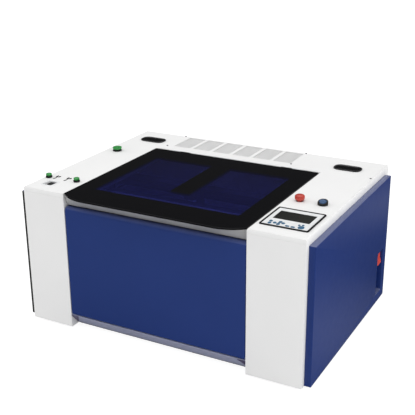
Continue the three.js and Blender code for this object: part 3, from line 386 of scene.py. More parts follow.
white_paint = powder_coat("white_paint", (0.83, 0.83, 0.828), 0.5, 0.35, 0.01, 0.08)
# The last number is the painted highlight mixed into the colour of faces that look up.
blue_paint = powder_coat("blue_paint", (0.0134, 0.0354, 0.172), 0.36, 0.3, 0.02, 0.04, 0.11)
# A lighter copy of the blue paint matched to the door's light, with a weaker painted highlight on its top
# faces.
door_paint_dim_highlight = powder_coat("door_paint_dim_highlight", (0.0150, 0.0390, 0.183), 0.36, 0.3, 0.02, 0.04, 0.045)
# Painted reflection: the sill's lilac grey stands for the blue paint with the white floor reflected in it.
sill_paint = powder_coat("sill_paint", (0.38, 0.40, 0.54), 0.4, 0.4, 0.02, 0.08)
# Dark paint for the plates of painted shade at the sill's ends.
sill_end_shade_paint = powder_coat("sill_end_shade_paint", (0.10, 0.085, 0.17), 0.4, 0.4, 0.02, 0.08)
black_paint = powder_coat("black_paint", (0.012, 0.012, 0.013), 0.5, 0.4, 0.1)
cast_paint = powder_coat("cast_paint", (0.03, 0.031, 0.034), 0.55, 0.4, 0.1, 0.6)
black_plastic = moulded("black_plastic", (0.009, 0.009, 0.010, 1), 0.42, specular=0.3)
grip_plastic = moulded("grip_plastic", (0.010, 0.010, 0.011, 1), 0.2, relief=0.1, specular=0.7)
white_plastic = moulded("white_plastic", (0.78, 0.79, 0.80, 1), 0.4, relief=0.1)
red_plastic = moulded("red_plastic", (0.48, 0.040, 0.024, 1), 0.3, glow=0.1, coat=0.3)
rocker_plastic = moulded("rocker_plastic", (0.60, 0.06, 0.045, 1), 0.3, glow=0.1, coat=0.3)
blue_plastic = moulded("blue_plastic", (0.055, 0.115, 0.235, 1), 0.22, glow=0.1, coat=0.5)
green_plastic = moulded("green_plastic", (0.03, 0.28, 0.055, 1), 0.28, glow=0.1, coat=0.4)
lamp_cover = moulded("lamp_cover", (0.16, 0.16, 0.15, 1), 0.5, relief=0.1, specular=0.2)
frame_plastic = moulded("frame_plastic", (0.006, 0.006, 0.007, 1), 0.5, specular=0.1)
key_film = moulded("key_film", (0.025, 0.11, 0.21, 1), 0.4, relief=0.1)
dark_rubber = soft_rubber("dark_rubber", (0.018, 0.018, 0.018, 1))
belt_rubber = soft_rubber("belt_rubber", (0.012, 0.012, 0.012, 1))
aluminium = brushed("aluminium", (0.62, 0.62, 0.64), metal=0.45)
anodised = brushed("anodised", (0.035, 0.035, 0.04), 0.4, metal=0.3)
lip_aluminium = brushed("lip_aluminium", (0.43, 0.43, 0.43), 0.45, metal=0.15)
bed_aluminium = brushed("bed_aluminium", (0.60, 0.60, 0.61), 0.45, (60, 1, 60), metal=0.4)
foil = brushed("foil", (0.66, 0.66, 0.67), 0.38, (1, 1, 40), metal=0.4)
steel = galvanised("steel", (0.55, 0.56, 0.58))
bright_steel = brushed("bright_steel", (0.66, 0.66, 0.67), 0.28, (1, 1, 60), metal=0.6)
screw_steel = brushed("screw_steel", (0.42, 0.42, 0.43), 0.35, (40, 40, 1))
dark_zinc = brushed("dark_zinc", (0.14, 0.14, 0.15), 0.4, (40, 40, 1))
brass = brushed("brass", (0.62, 0.42, 0.16), 0.3, (40, 40, 1))


# --- shapes as (points, faces)
def merge(*shapes):
    """Several shapes as one."""
    points, faces = [], []
    for more_points, more_faces in shapes:
        start = len(points)
        points.extend(more_points)
        faces.extend(tuple(i + start for i in face) for face in more_faces)
    return points, faces


def moved(shape, offset=(0, 0, 0), turn=None):
    """A shape turned about the origin, then moved."""
    matrix = Matrix.Translation(offset)
    if turn is not None:
        matrix = matrix @ turn.to_4x4()
    return [matrix @ Vector(p) for p in shape[0]], shape[1]


def facing(direction):
    """The rotation that takes +Z to a direction."""
    return Vector((0, 0, 1)).rotation_difference(Vector(direction).normalized()).to_matrix()


def loft(rings, closed=False):
    """A skin over rings of equal point count, capped at both ends or joined end to end."""
    count = len(rings[0])
    points = [p for ring in rings for p in ring]
    faces = []
    for i in range(len(rings) if closed else len(rings) - 1):
        a = i * count
        b = (i + 1) % len(rings) * count
        for k in range(count):
            n = (k + 1) % count
            faces.append((a + k, a + n, b + n, b + k))
    if not closed:
        faces.append(tuple(reversed(range(count))))
        faces.append(tuple(range(len(points) - count, len(points))))
    return points, faces


def rounded_rectangle(width, depth, radius, steps=6):
    """Outline about the origin, anticlockwise."""
    radius = min(radius, width / 2 - 0.01, depth / 2 - 0.01)
    outline = []
    for corner, (sx, sy) in enumerate(((1, 1), (-1, 1), (-1, -1), (1, -1))):
        cx = sx * (width / 2 - radius)
        cy = sy * (depth / 2 - radius)
        for k in range(steps + 1):
            angle = math.pi / 2 * (corner + k / steps)
            outline.append((cx + radius * math.cos(angle), cy + radius * math.sin(angle)))
    return outline


def circle(radius, segments=48):
    """A circle's outline about the origin, anticlockwise."""
    turn = 2 * math.pi / segments
    return [(radius * math.cos(turn * k), radius * math.sin(turn * k)) for k in range(segments)]


def hexagon(radius, segments=24):
    """A hexagon of a given half width across flats, sampled evenly by angle."""
    outline = []
    for k in range(segments):
        angle = 2 * math.pi * k / segments
        off = (angle + math.pi / 6) % (math.pi / 3) - math.pi / 6
        reach = radius / math.cos(off)
        outline.append((reach * math.cos(angle), reach * math.sin(angle)))
    return outline


def level(outline, z, centre=(0, 0)):
    """An outline as a ring at one height."""
    return [Vector((u + centre[0], v + centre[1], z)) for u, v in outline]


def lathe(profile, segments=64):
    """A turned solid from (radius, height) pairs. Both ends close on flat or pointed caps."""
    return loft([level(circle(max(r, 0.05), segments), z) for r, z in profile])


def ring_lathe(profile, segments=64):
    """A turned ring whose (radius, height) profile closes on itself."""
    return loft([level(circle(r, segments), z) for r, z in profile], closed=True)


def slab(outline, low, high, edge=0.0, steps=2):
    """A flat plate with a rounded top edge. The outline is a function of how far it is drawn in."""
    rings = [level(outline(0), low)]
    for k in range(steps + 1):
        angle = math.pi / 2 * k / steps
        inset = edge * (1 - math.cos(angle))
        rings.append(level(outline(inset), high - edge + edge * math.sin(angle)))
    return loft(rings)


def block(low, high, radius=1.0, edge=0.6):
    """A box between two corners with rounded upright corners and rounded top edges."""
    width, depth = high[0] - low[0], high[1] - low[1]
    plate = slab(
        lambda inset: rounded_rectangle(width - 2 * inset, depth - 2 * inset, max(radius - inset, 0.1), 3),
        low[2],
        high[2],
        edge,
    )
    return moved(plate, ((low[0] + high[0]) / 2, (low[1] + high[1]) / 2, 0))


def stepped(low, high, profile, corner, steps, shrink=0.0):
    """Rounded rectangles drawn in from a box's sides, one for each (inset, height) of a profile.
    Their corners shrink by a share of the inset."""
    width, depth = high.x - low.x, high.y - low.y
    rings = []
    for step, z in profile:
        outline = rounded_rectangle(width - 2 * step, depth - 2 * step, corner - shrink * step, steps)
        rings.append(level(outline, z, plan_centre(low, high)))
    return rings


def screw(radius, at, normal=(0, 0, 1)):
    """A domed screw head with a hexagon socket."""
    profile = ((1.0, 0.0), (1.0, 0.25), (0.86, 0.5), (0.62, 0.62))
    rings = [level(circle(radius * r, 24), radius * z) for r, z in profile]
    rings.append(level(hexagon(radius * 0.42), radius * 0.62))
    rings.append(level(hexagon(radius * 0.4), radius * 0.22))
    return moved(loft(rings), at, facing(normal))


def perforated(low, high, pitch, hole, sides):
    """A sheet of hexagonal cells between two corners, each with a hole of 6 * sides edges."""
    points, faces, known = [], [], {}

    def point(x, y, z):
        """The number of a corner, shared between neighbouring cells."""
        key = (round(x * 1000), round(y * 1000), round(z * 1000))
        if key not in known:
            known[key] = len(points)
            points.append(Vector((x, y, z)))
        return known[key]

    def cell(cx, cy):
        """One hexagon's top and bottom faces and the wall of its hole."""
        rim, bore = [], []
        for z in (low[2], high[2]):
            rim.append([])
            bore.append([])
            for k in range(6 * sides):
                angle = math.pi / 2 + 2 * math.pi * k / (6 * sides)
                off = (angle + math.pi / 6) % (math.pi / 3) - math.pi / 6
                reach = pitch / 2 / math.cos(off)
                rim[-1].append(point(cx + reach * math.cos(angle), cy + reach * math.sin(angle), z))
                bore[-1].append(point(cx + hole * math.cos(angle), cy + hole * math.sin(angle), z))
        for k in range(6 * sides):
            n = (k + 1) % (6 * sides)
            faces.append((rim[0][k], rim[0][n], bore[0][n], bore[0][k]))
            faces.append((rim[1][k], bore[1][k], bore[1][n], rim[1][n]))
            faces.append((bore[0][k], bore[0][n], bore[1][n], bore[1][k]))

    step = pitch * math.sqrt(3) / 2
    rows = int((high[1] - low[1] - pitch * 1.16) / step) + 1
    columns = int((high[0] - low[0] - pitch * 1.5) / pitch) + 1
    start_x = (low[0] + high[0]) / 2 - (columns - 0.5) * pitch / 2
    start_y = (low[1] + high[1]) / 2 - (rows - 1) * step / 2
    for row in range(rows):
        for column in range(columns):
            cell(start_x + (column + row % 2 / 2) * pitch, start_y + row * step)
    return points, faces


# --- pieces and finishes
def new_object(name, data):
    """An object of the scene that holds a mesh, a lamp or a camera."""
    thing = bpy.data.objects.new(name, data)
    bpy.context.scene.collection.objects.link(thing)
    return thing


def piece(name, shape, material, node=None, body="cabinet", crease=35):
    """Makes an object of a shape, in metres, on a body and in place of a CAD node, which it hides.
    Its material's name has a number added where a CAD material already has that name."""
    mesh = bpy.data.meshes.new(name)
    mesh.from_pydata([Vector(p) * MM for p in shape[0]], [], shape[1])
    work = bmesh.new()
    work.from_mesh(mesh)
    bmesh.ops.recalc_face_normals(work, faces=work.faces)
    work.to_mesh(mesh)
    work.free()
    mesh.shade_smooth()
    mesh.set_sharp_from_angle(angle=math.radians(crease))
    mesh.materials.append(material)
    thing = new_object(name, mesh)
    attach(thing, body)
    finish = material.name.split(".")[0]
    if node:
        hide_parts(node)


def dress(material, *names):
    """Gives CAD nodes their finish."""
    for name in names:
        for place in nodes[name].material_slots:
            place.material = material


def soften(width, *names, angle=40, segments=3):
    """Rounds the hard edges of CAD nodes with modifiers, leaving their meshes alone."""
    for name in names:
        thing = nodes[name]
        normals = thing.data.attributes.get("custom_normal")
        if normals:
            thing.data.attributes.remove(normals)
        thing.data.shade_smooth()
        weld = thing.modifiers.new("weld", "WELD")
        weld.merge_threshold = 0.00001
        flat = thing.modifiers.new("flat", "DECIMATE")
        flat.decimate_type = "DISSOLVE"
        flat.angle_limit = math.radians(0.6)
        bevel = thing.modifiers.new("bevel", "BEVEL")
        bevel.width = width * MM
        bevel.segments = segments
        bevel.limit_method = "ANGLE"
        bevel.angle_limit = math.radians(angle)
        bevel.use_clamp_overlap = True
        thing.modifiers.new("shading", "WEIGHTED_NORMAL")


def cabinet_finishes():
    """Finishes and rounded edges of the CAD nodes that are shown as they are."""
    dress(white_paint, "chassis_pan", "left_housing", "right_housing", "top_cover")
    dress(sill_paint, "front_sill")
    dress(black_paint, "lid_frame", "strut_cylinder", "x_motor", "y_motor")
    dress(cast_paint, "head_carriage")
    dress(lip_aluminium, "lid_grip_lip")
    dress(steel, "chamber_left_wall", "chamber_right_wall", "chamber_rear_wall", "lid_hinge")
    dress(bright_steel, "y_rail_left", "y_rail_right", "strut_rod")
    dress(aluminium, "focus_tube", "tube_cradle", "laser_power_supply")
    dress(anodised, "gantry_beam")
    dress(bed_aluminium, "bed_frame")
    dress(black_plastic, "mains_inlet", "exhaust_port")
    dress(tube_glass(), "laser_tube")
    dress(screen_glass(*node_box("controller_screen")), "controller_screen")
    dress(lid_glass_material(*node_box("lid_glass")), "lid_glass")
    soften(2.6, "left_housing", "right_housing")
    soften(1.6, "front_sill")
    soften(0.8, "top_cover", "chassis_pan", "lid_frame", "lid_grip_lip", "gantry_beam", "bed_frame")
    soften(0.6, "lid_glass", "controller_screen", "mains_inlet", "exhaust_port", "head_carriage")
    soften(0.6, "x_motor", "y_motor")
    soften(0.4, "chamber_left_wall", "chamber_right_wall", "chamber_rear_wall")
    soften(0.4, "y_rail_left", "y_rail_right", "tube_cradle", "laser_power_supply", "lid_hinge")
    soften(0.2, "strut_cylinder", "strut_rod", "focus_tube", "laser_tube", angle=50)


# --- blue side panels
def span_outline(across, up, radius):
    """A rounded rectangle that fills two spans."""
    outline = rounded_rectangle(across[1] - across[0], up[1] - up[0], radius, 5)
    return [(u + (across[0] + across[1]) / 2, v + (up[0] + up[1]) / 2) for u, v in outline]


def side_ring(x, y, z, radius):
    """A rounded rectangle on a plane of constant x, from (y, z) spans."""
    return [Vector((x, u, v)) for u, v in span_outline(y, z, radius)]


def inset(span, amount):
    """A span made shorter by an amount at each end."""
    return (span[0] + amount, span[1] - amount)


def tray_rings(base, face, y, z, fold=1.3):
    """Rings from a tray's base to its face, over a folded edge."""
    sign = 1 if face > base else -1
    rings = [side_ring(base, y, z, PANEL_CORNER)]
    for k in range(5):
        angle = math.pi / 2 * k / 4
        step = fold * (1 - math.cos(angle))
        x = face - sign * fold * (1 - math.sin(angle))
        rings.append(side_ring(x, inset(y, step), inset(z, step), PANEL_CORNER))
    return rings


def left_side_panel():
    """The left panel, and a dark rubber strip along its front that paints the shade in the gap beside the
    pillar.
    """
    low, high = node_box("left_side_panel")
    rings = tray_rings(high.x, low.x, (low.y, high.y), (low.z, high.z))
    piece("left_panel_tray", loft(rings), blue_paint, "left_side_panel")
    # Painted shade: a dark strip where the gap between the panel and the pillar is in shadow.
    gap_shade = block((low.x + 0.4, low.y - 1.4, low.z + 2), (high.x - 1, low.y + 1, high.z - 1), 0.6, 0.5)
    piece("left_panel_shade_strip", gap_shade, dark_rubber)


def right_side_panel():
    """The right panel, with the switch pocket and its shelf sunk in it."""
    low, high = node_box("right_side_panel")
    housing = node_box("right_housing")[1].x + 0.3
    y = (high.y - POCKET["rear"] - POCKET["width"], high.y - POCKET["rear"])
    z = (low.z + POCKET["bottom"], low.z + POCKET["bottom"] + POCKET["height"])
    sheet, corner = POCKET["sheet"], POCKET["corner"]
    rings = [side_ring(low.x, inset(y, -sheet), inset(z, -sheet), corner)]
    rings.append(side_ring(housing, inset(y, -sheet), inset(z, -sheet), corner))
    rings += tray_rings(housing, high.x, (low.y, high.y), (low.z, high.z))
    for k in range(4):
        angle = math.pi / 2 * k / 3
        step = POCKET["lip"] * (math.sin(angle) - 1)
        depth = POCKET["lip"] * (1 - math.cos(angle))
        rings.append(side_ring(high.x - depth, inset(y, step), inset(z, step), corner))
    shelf = high.x - SHELF["depth"]
    well = (z[0], low.z + SHELF["bottom"])
    back = low.x + sheet
    rings.append(side_ring(shelf + 0.6, y, z, corner))
    rings.append(side_ring(shelf, y, well, 2))
    rings.append(side_ring(back + 2, y, well, 2))
    rings.append(side_ring(back, inset(y, 2), inset(well, 2), 2))
    piece("right_panel_tray", loft(rings), blue_paint, "right_side_panel")


# --- door and sill
def front_ring(y, x, z, radius):
    """A rounded rectangle on a plane of constant y, from (x, z) spans."""
    return [Vector((u, y, v)) for u, v in span_outline(x, z, radius)]


def door():
    """A hollow tray, open at the back, with a softly folded top and tighter sides."""
    low, high = node_box("front_door")
    x, z = (low.x, high.x), (low.z, high.z)
    sheet, fold = DOOR_SHEET, DOOR_FOLD
    rings = [front_ring(low.y + sheet, inset(x, sheet + 1), (z[0] + sheet + 1, z[1] - fold), 2)]
    rings.append(front_ring(low.y + 2 * sheet, inset(x, sheet), (z[0] + sheet, z[1] - fold / 2), 2))
    rings.append(front_ring(low.y + fold, inset(x, sheet), inset(z, sheet), 2))
    rings.append(front_ring(high.y, inset(x, sheet), inset(z, sheet), 2))
    rings.append(front_ring(high.y, x, z, PANEL_CORNER))
    for k in range(9):
        angle = math.pi / 2 * k / 8
        top = z[1] - fold * (1 - math.cos(angle))
        side = DOOR_SIDE_FOLD * (1 - math.cos(angle))
        y = low.y + fold * (1 - math.sin(angle))
        rings.append(front_ring(y, inset(x, side), (z[0] + side, top), PANEL_CORNER))
    piece("door_tray", loft(rings), door_paint_dim_highlight, "front_door", "door")


def sill_details():
    """Painted shade: a thin dark plate at each end of the sill, and a dark rubber strip along the shaded
    line under its foot.
    """
    low, high = node_box("front_sill")
    end_shade_plates = []
    # Each plate is a dark triangle lying on the slope, painted shade beside a pillar.
    for end, side in ((low.x, 1), (high.x, -1)):
        corners = ((0.3, 0), (26, 0), (0.3, high.z - low.z - 5))
        rings = []
        for lift in (0.2, 2.2):
            ring = []
            for across, down in corners:
                z = high.z - 2 - down
                slope = (high.z - z) / (high.z - low.z) * SILL_SLOPE
                ring.append(Vector((end + side * across, low.y + slope - lift, z)))
            rings.append(ring)
        end_shade_plates.append(loft(rings))
    piece("sill_end_shade_plates", merge(*end_shade_plates), sill_end_shade_paint)
    # The dark strip paints the line of shade under the sill's foot.
    foot = low.y + SILL_SLOPE
    strip = block((low.x + 1, foot - 1, low.z), (high.x - 1, foot + 4, low.z + 3), 0.5)
    piece("sill_foot_shade_strip", strip, dark_rubber)


# --- top of the cabinet
def vents():
    """Perforated sheet behind the six openings of the top cover."""
    low, high = node_box("vent_grille")
    sheet = perforated(low, high, VENT_PITCH, VENT_HOLE, 2)
    piece("vent_mesh", sheet, white_paint, "vent_grille", crease=50)


def grip(side):
    """A black flush pull handle: a rolled rim around a deep finger cup."""
    node = "grip_cup_" + side
    low, high = node_box(node)
    rim = high.z
    profile = [(5.0, low.z), (4.2, low.z + 1), (4.2, rim - 3.6), (0.0, rim - 3.6), (0.0, rim - 1.6)]
    profile += [(0.5, rim - 0.5), (1.6, rim), (2.8, rim - 0.2), (4.4, rim - 1.6), (5.6, rim - 4)]
    profile += [(6.2, low.z + 7), (8.0, low.z + 3), (11.5, low.z + 2)]
    rings = stepped(low, high, profile, GRIP_CORNER, 10, 1.0)
    piece("grip_" + side, loft(rings), grip_plastic, node)


def button(name, material, bezel_profile, cap_profile, slope=0.0):
    """A push-button: a fixed black bezel ring and a cap that travels in it. Heights are from the
    cover; slope lowers the bezel towards its front."""
    node = name + "_button_bezel"
    low, high = node_box(node)
    at = Vector((*plan_centre(low, high), COVER_TOP))
    points, faces = ring_lathe(bezel_profile)
    reach = (high.y - low.y) / 2
    for p in points:
        if p.z > 2:
            p.z *= 1 + slope * (p.y - reach) / reach
    bezel = moved((points, faces), at)
    piece(name + "_bezel", bezel, black_plastic, node)
    cap = moved(lathe(cap_profile), at)
    piece(name + "_cap_top", cap, material, name + "_button_cap", name + "_cap")


def start_button():
    """A black collar that shrouds a blue cap from behind and slopes down to the operator."""
    bezel = [(10.9, -22), (10.9, 0.4), (14.8, 0.4), (15.0, 1.2), (15.0, 12.0), (14.5, 13.4), (13.4, 14.1)]
    bezel += [(12.2, 14.0), (11.3, 13.2), (10.8, 12.0), (10.6, 1.0), (6.6, 1.0), (6.6, -22)]
    cap = [(0, -19), (6.0, -19), (6.0, 4.5), (10.0, 4.5), (10.2, 4.8), (10.2, 11.2), (9.9, 12.1)]
    cap += [(9.2, 12.5), (8.2, 12.4), (6.4, 11.9), (4.0, 11.6), (1.6, 11.5), (0, 11.5)]
    button("start", blue_plastic, bezel, cap, COLLAR_SLOPE)


def lamp_button():
    """A broad green lens standing over a low black bezel."""
    bezel = [(10.9, -22), (10.9, 0.4), (14.8, 0.4), (15.0, 1.0), (15.0, 3.0), (14.6, 3.7), (13.6, 4.0)]
    bezel += [(8.0, 4.0), (6.6, 3.7), (6.6, -22)]
    cap = [(0, -19), (6.0, -19), (6.0, 7.3), (14.2, 7.3), (15.0, 7.7), (15.2, 8.5), (15.2, 12.2)]
    cap += [(14.8, 13.1), (13.9, 13.4), (12.4, 13.1), (8.0, 12.4), (3.0, 12.0), (0, 11.9)]
    button("lamp", green_plastic, bezel, cap)


def small_button(name):
    """A small domed green button."""
    bezel = [(7.9, -16), (7.9, 0.4), (10.0, 0.4), (10.2, 0.9), (10.2, 4.3), (9.8, 5.0), (9.0, 5.2)]
    bezel += [(6.0, 5.2), (5.1, 4.9), (5.1, -16)]
    cap = [(0, -12), (4.5, -12), (4.5, 7.8), (8.6, 7.8), (9.0, 8.2), (9.0, 11.2), (8.6, 12.0)]
    cap += [(7.4, 12.7), (5.2, 13.2), (2.6, 13.45), (0, 13.5)]
    button(name, green_plastic, bezel, cap)


def stop_button():
    """A red mushroom head on its stem."""
    low, high = node_box("estop_head")
    at = (*plan_centre(low, high), 0)
    skirt = high.z - 14.4
    profile = [(0, low.z), (7, low.z), (7, skirt), (12.8, skirt), (13.6, skirt + 0.5)]
    profile += [(14.2, skirt + 1.6), (14.4, skirt + 3.2), (14.4, skirt + 8.8), (14.0, skirt + 10.6)]
    profile += [(12.8, skirt + 12.3), (10.4, skirt + 13.5), (6.8, skirt + 14.2), (3.0, skirt + 14.38)]
    profile += [(0, skirt + 14.4)]
    piece("stop_head", moved(lathe(profile), at), red_plastic, "estop_head", "estop")


def data_port():
    """A white recessed cup with a dark socket block in its rear corner."""
    low, high = node_box("data_port")
    rim = high.z
    profile = [(3.6, low.z), (3.2, low.z + 1), (3.2, rim - 1.4), (0.0, rim - 1.4), (0.0, rim - 0.9)]
    profile += [(0.7, rim - 0.2), (1.5, rim), (3.4, rim), (4.4, rim - 0.8), (4.6, rim - 2)]
    profile += [(5.4, low.z + 4), (7.0, low.z + 2)]
    piece("data_cup", loft(stepped(low, high, profile, 4, 5)), white_plastic, "data_port")
    mask_low = (low.x + 13, low.y + 16, low.z + 2.5)
    mask = block(mask_low, (high.x - 5.6, high.y - 5.6, rim - 3), 2, 0.8)
    piece("data_mask", mask, black_plastic)


def fan_icon(x, y):
    """A generic three-blade fan sign, as a thin printed shape."""
    width, depth = ICON_SIZE
    outlines = []
    for blade in range(3):
        turn = 2 * math.pi * blade / 3
        outline = []
        for k in range(21):
            t = k / 20
            reach = 0.24 + 0.76 * math.sin(math.pi * t) ** 0.7
            angle = turn + 1.35 * t - 0.35 * math.sin(math.pi * t)
            outline.append((width * reach * math.cos(angle), depth * reach * math.sin(angle)))
        outlines.append(outline)
    outlines.append([(width * u, depth * v) for u, v in circle(0.17, 16)])
    low, high = COVER_TOP + 0.02, COVER_TOP + 0.22
    return merge(*(loft([level(o, low, (x, y)), level(o, high, (x, y))]) for o in outlines))


def icons():
    """Both fan signs, beside the small buttons."""
    sign = merge(*(fan_icon(x, y) for x, y in ICONS_AT))
    piece("fan_signs", sign, black_plastic)


def controller():
    """A black frame around the keypad and the screen."""
    low, high = node_box("controller_bezel")
    top = high.z
    profile = [(0.0, low.z), (0.0, top - 1.2), (0.3, top - 0.5), (1.0, top), (3.6, top), (4.4, top - 0.4)]
    profile += [(4.9, top - 1.2), (5.0, low.z)]
    bezel = loft(stepped(low, high, profile, 5, 5, 0.8), closed=True)
    piece("controller_frame", bezel, frame_plastic, "controller_bezel")


def keypad():
    """A white membrane with a window for the screen, and its domed keys."""
    low, high = node_box("controller_membrane")
    edge = ((0.0, low.z), (0.0, high.z - 0.3), (0.3, high.z))
    opening = [(-SCREEN_GAP - step, z) for step, z in reversed(edge)]
    rings = stepped(low, high, edge, 2, 4)
    rings += stepped(*node_box("controller_screen"), opening, 1.5, 4)
    sheet = loft(rings, closed=True)
    piece("keypad_sheet", sheet, white_plastic, "controller_membrane")
    keys = merge(*(membrane_key(x, y, *key_size) for x, y, key_size in KEYS))
    keys = moved(keys, (high.x, high.y, high.z + 0.02))
    piece("keypad_keys", keys, key_film)


def membrane_key(x, y, width, depth):
    """A low domed key under the membrane film."""
    profile = ((0.0, 0.0), (0.2, 0.9), (0.9, 1.6), (2.2, 2.0))
    rings = []
    for step, z in profile:
        outline = rounded_rectangle(width - 2 * step, depth - 2 * step, min(width, depth) / 2 - step, 6)
        rings.append(level(outline, z, (x, y)))
    return loft(rings)


def screws(name, material, radius, places, normal=(0, 0, 1)):
    """A set of screw heads on one face of the cabinet."""
    heads = merge(*(screw(radius, place, normal) for place in places))
    piece(name, heads, material)


def cover_screws():
    """The visible fixings of the top cover, around the vents and near its edges."""
    low, high = node_box("vent_grille")
    places = [(x, y, COVER_TOP) for x in (low.x - 10, high.x - 7.5) for y in (low.y + 2, high.y)]
    places.append((node_box("top_cover")[1].x - 7, low.y - 25, COVER_TOP))
    screws("cover_screws", dark_zinc, 3.0, places)


def feet():
    """Ribbed rubber feet with a screw recess."""
    for corner in ("front_left", "front_right", "rear_left", "rear_right"):
        node = "foot_" + corner
        low, high = node_box(node)
        radius = (high.x - low.x) / 2
        at = (*plan_centre(low, high), low.z)
        profile = [(4, 3), (5, 0.4), (radius - 3.5, 0), (radius - 2.5, 0.6), (radius - 2, 3)]
        profile += [(radius - 1.6, 3.6), (radius - 1.4, 6), (radius - 0.6, 6.6), (radius, 7.2)]
        profile += [(radius, 9.6), (radius - 0.4, 10), (4, 10)]
        foot = moved(ring_lathe(profile, 48), at)
        piece("rubber_" + node, foot, dark_rubber, node)


# --- drives, bed and chamber
def belt_loop(span, width):
    """A toothed belt around two wheels, along x about its middle, with its width along y."""
    around = math.pi * BELT_RADIUS
    teeth = round(2 * (span + around) / BELT_PITCH)
    pitch = 2 * (span + around) / teeth
    rings = []
    for k in range(teeth):
        for share, inner in ((0.0, 0.15), (0.42, 0.15), (0.5, -0.15), (0.92, -0.15)):
            rings.append(belt_ring((k + share) * pitch, span, around, BELT_RADIUS + inner, width))
    return loft(rings, closed=True)


def belt_ring(travel, straight, around, inner, width):
    """The belt's cross section at a distance along the loop, starting at the far end's top."""
    outer = BELT_RADIUS + BELT_THICKNESS
    if travel < straight:
        centre, angle = (straight / 2 - travel, 0), math.pi / 2
    elif travel < straight + around:
        centre, angle = (-straight / 2, 0), math.pi / 2 + (travel - straight) / BELT_RADIUS
    elif travel < 2 * straight + around:
        centre, angle = (travel - 1.5 * straight - around, 0), -math.pi / 2
    else:
        turned = travel - 2 * straight - around
        centre, angle = (straight / 2, 0), -math.pi / 2 + turned / BELT_RADIUS
    ring = []
    for radius, w in ((inner, -1), (outer, -1), (outer, 1), (inner, 1)):
        u = centre[0] + radius * math.cos(angle)
        v = radius * math.sin(angle)
        ring.append(Vector((u, w * width / 2, v)))
    return ring


def toothed_wheel(width, flange):
    """A belt pulley along z with its teeth between two flanges."""
    outline = []
    for k in range(PULLEY_TEETH):
        for share, radius in ((0.0, 7.5), (0.42, 7.5), (0.5, 8.2), (0.92, 8.2)):
            angle = 2 * math.pi * (k + share) / PULLEY_TEETH
            outline.append((radius * math.cos(angle), radius * math.sin(angle)))
    body = loft([level(outline, -width / 2), level(outline, width / 2)])
    rims = []
    for side in (-1, 1):
        near, far = side * width / 2, side * (width / 2 + 1)
        rims.append(lathe([(flange - 0.3, near), (flange, (near + far) / 2), (flange - 0.3, far)], 40))
    return merge(body, *rims)


def drives():
    """Both toothed belts and their pulleys, which turn with the slides."""
    for axis, body in (("x", "gantry"), ("y", "cabinet")):
        belt = axis + "_belt"
        drive, idler = middle(axis + "_drive_pulley"), middle(axis + "_idler_pulley")
        span = drive.x - idler.x if axis == "x" else drive.y - idler.y
        turn = None if axis == "x" else Matrix.Rotation(math.pi / 2, 3, "Z")
        shape = moved(belt_loop(span, BELT_WIDTH), middle(belt), turn)
        piece(belt + "_toothed", shape, belt_rubber, belt, body)
        for end in ("drive", "idler"):
            pulley(axis, end, middle(belt))


def pulley(axis, end, belt):
    """One belt pulley and its shaft, in line with the belt."""
    node = f"{axis}_{end}_pulley"
    low, high = node_box(node)
    at = middle(node)
    if axis == "x":
        at.y = belt.y
        shaft = belt.y - high.y
        turn = Matrix.Rotation(math.pi / 2, 3, "X")
    else:
        at.x = belt.x
        shaft = low.x - belt.x
        turn = Matrix.Rotation(math.pi / 2, 3, "Y")
    rod = lathe([(SHAFT_RADIUS, shaft), (SHAFT_RADIUS, 3)], 24)
    shape = moved(merge(toothed_wheel(PULLEY_WIDTH, PULLEY_FLANGE), rod), at, turn)
    piece(node + "_toothed", shape, bright_steel, node, f"{axis}_{end}")


def lead_screws():
    """Two-start threaded rods that lift the bed."""
    for side in ("left", "right"):
        node = "lead_screw_" + side
        low, high = node_box(node)
        radius = (high.x - low.x) / 2
        rings = []
        count = int(high.z - low.z)
        for i in range(count + 1):
            z = low.z + (high.z - low.z) * i / count
            ring = []
            for k in range(24):
                angle = 2 * math.pi * k / 24
                phase = (z / THREAD_LEAD - angle / math.pi) % 1
                depth = 0.9 * min(1, max(0, abs(phase * 2 - 1) * 2 - 0.5))
                reach = radius - depth
                ring.append(Vector((reach * math.cos(angle), reach * math.sin(angle), z)))
            rings.append(ring)
        at = (*plan_centre(low, high), 0)
        piece(node + "_thread", moved(loft(rings), at), bright_steel, node, "screw_" + side)


def honeycomb():
    """Open honeycomb core in a thin frame."""
    low, high = node_box("honeycomb_panel")
    inner_low = low + Vector((2, 2, 1))
    inner_high = high - Vector((2, 2, 0.2))
    core = perforated(inner_low, inner_high, COMB_PITCH, COMB_PITCH / math.sqrt(3) - 0.4, 1)
    profile = [(0, low.z), (0, high.z - 0.5), (0.5, high.z), (COMB_RIM, high.z), (COMB_RIM, low.z)]
    rim = loft(stepped(low, high, profile, 2, 3), closed=True)
    piece("comb_core", core, foil, "honeycomb_panel", "bed", crease=20)
    piece("comb_rim", rim, bed_aluminium, body="bed")


def knob(radius, height):
    """A knurled adjusting knob along z."""
    outline = []
    for k in range(48):
        reach = radius * (1.0 if k % 4 < 2 else 0.93)
        outline.append((reach * math.cos(math.pi * k / 24), reach * math.sin(math.pi * k / 24)))
    cap = [(u * 0.85, v * 0.85) for u, v in outline]
    waist, shoulder = height * 0.12, height * 0.88
    return loft([level(cap, 0), level(outline, waist), level(outline, shoulder), level(cap, height)])


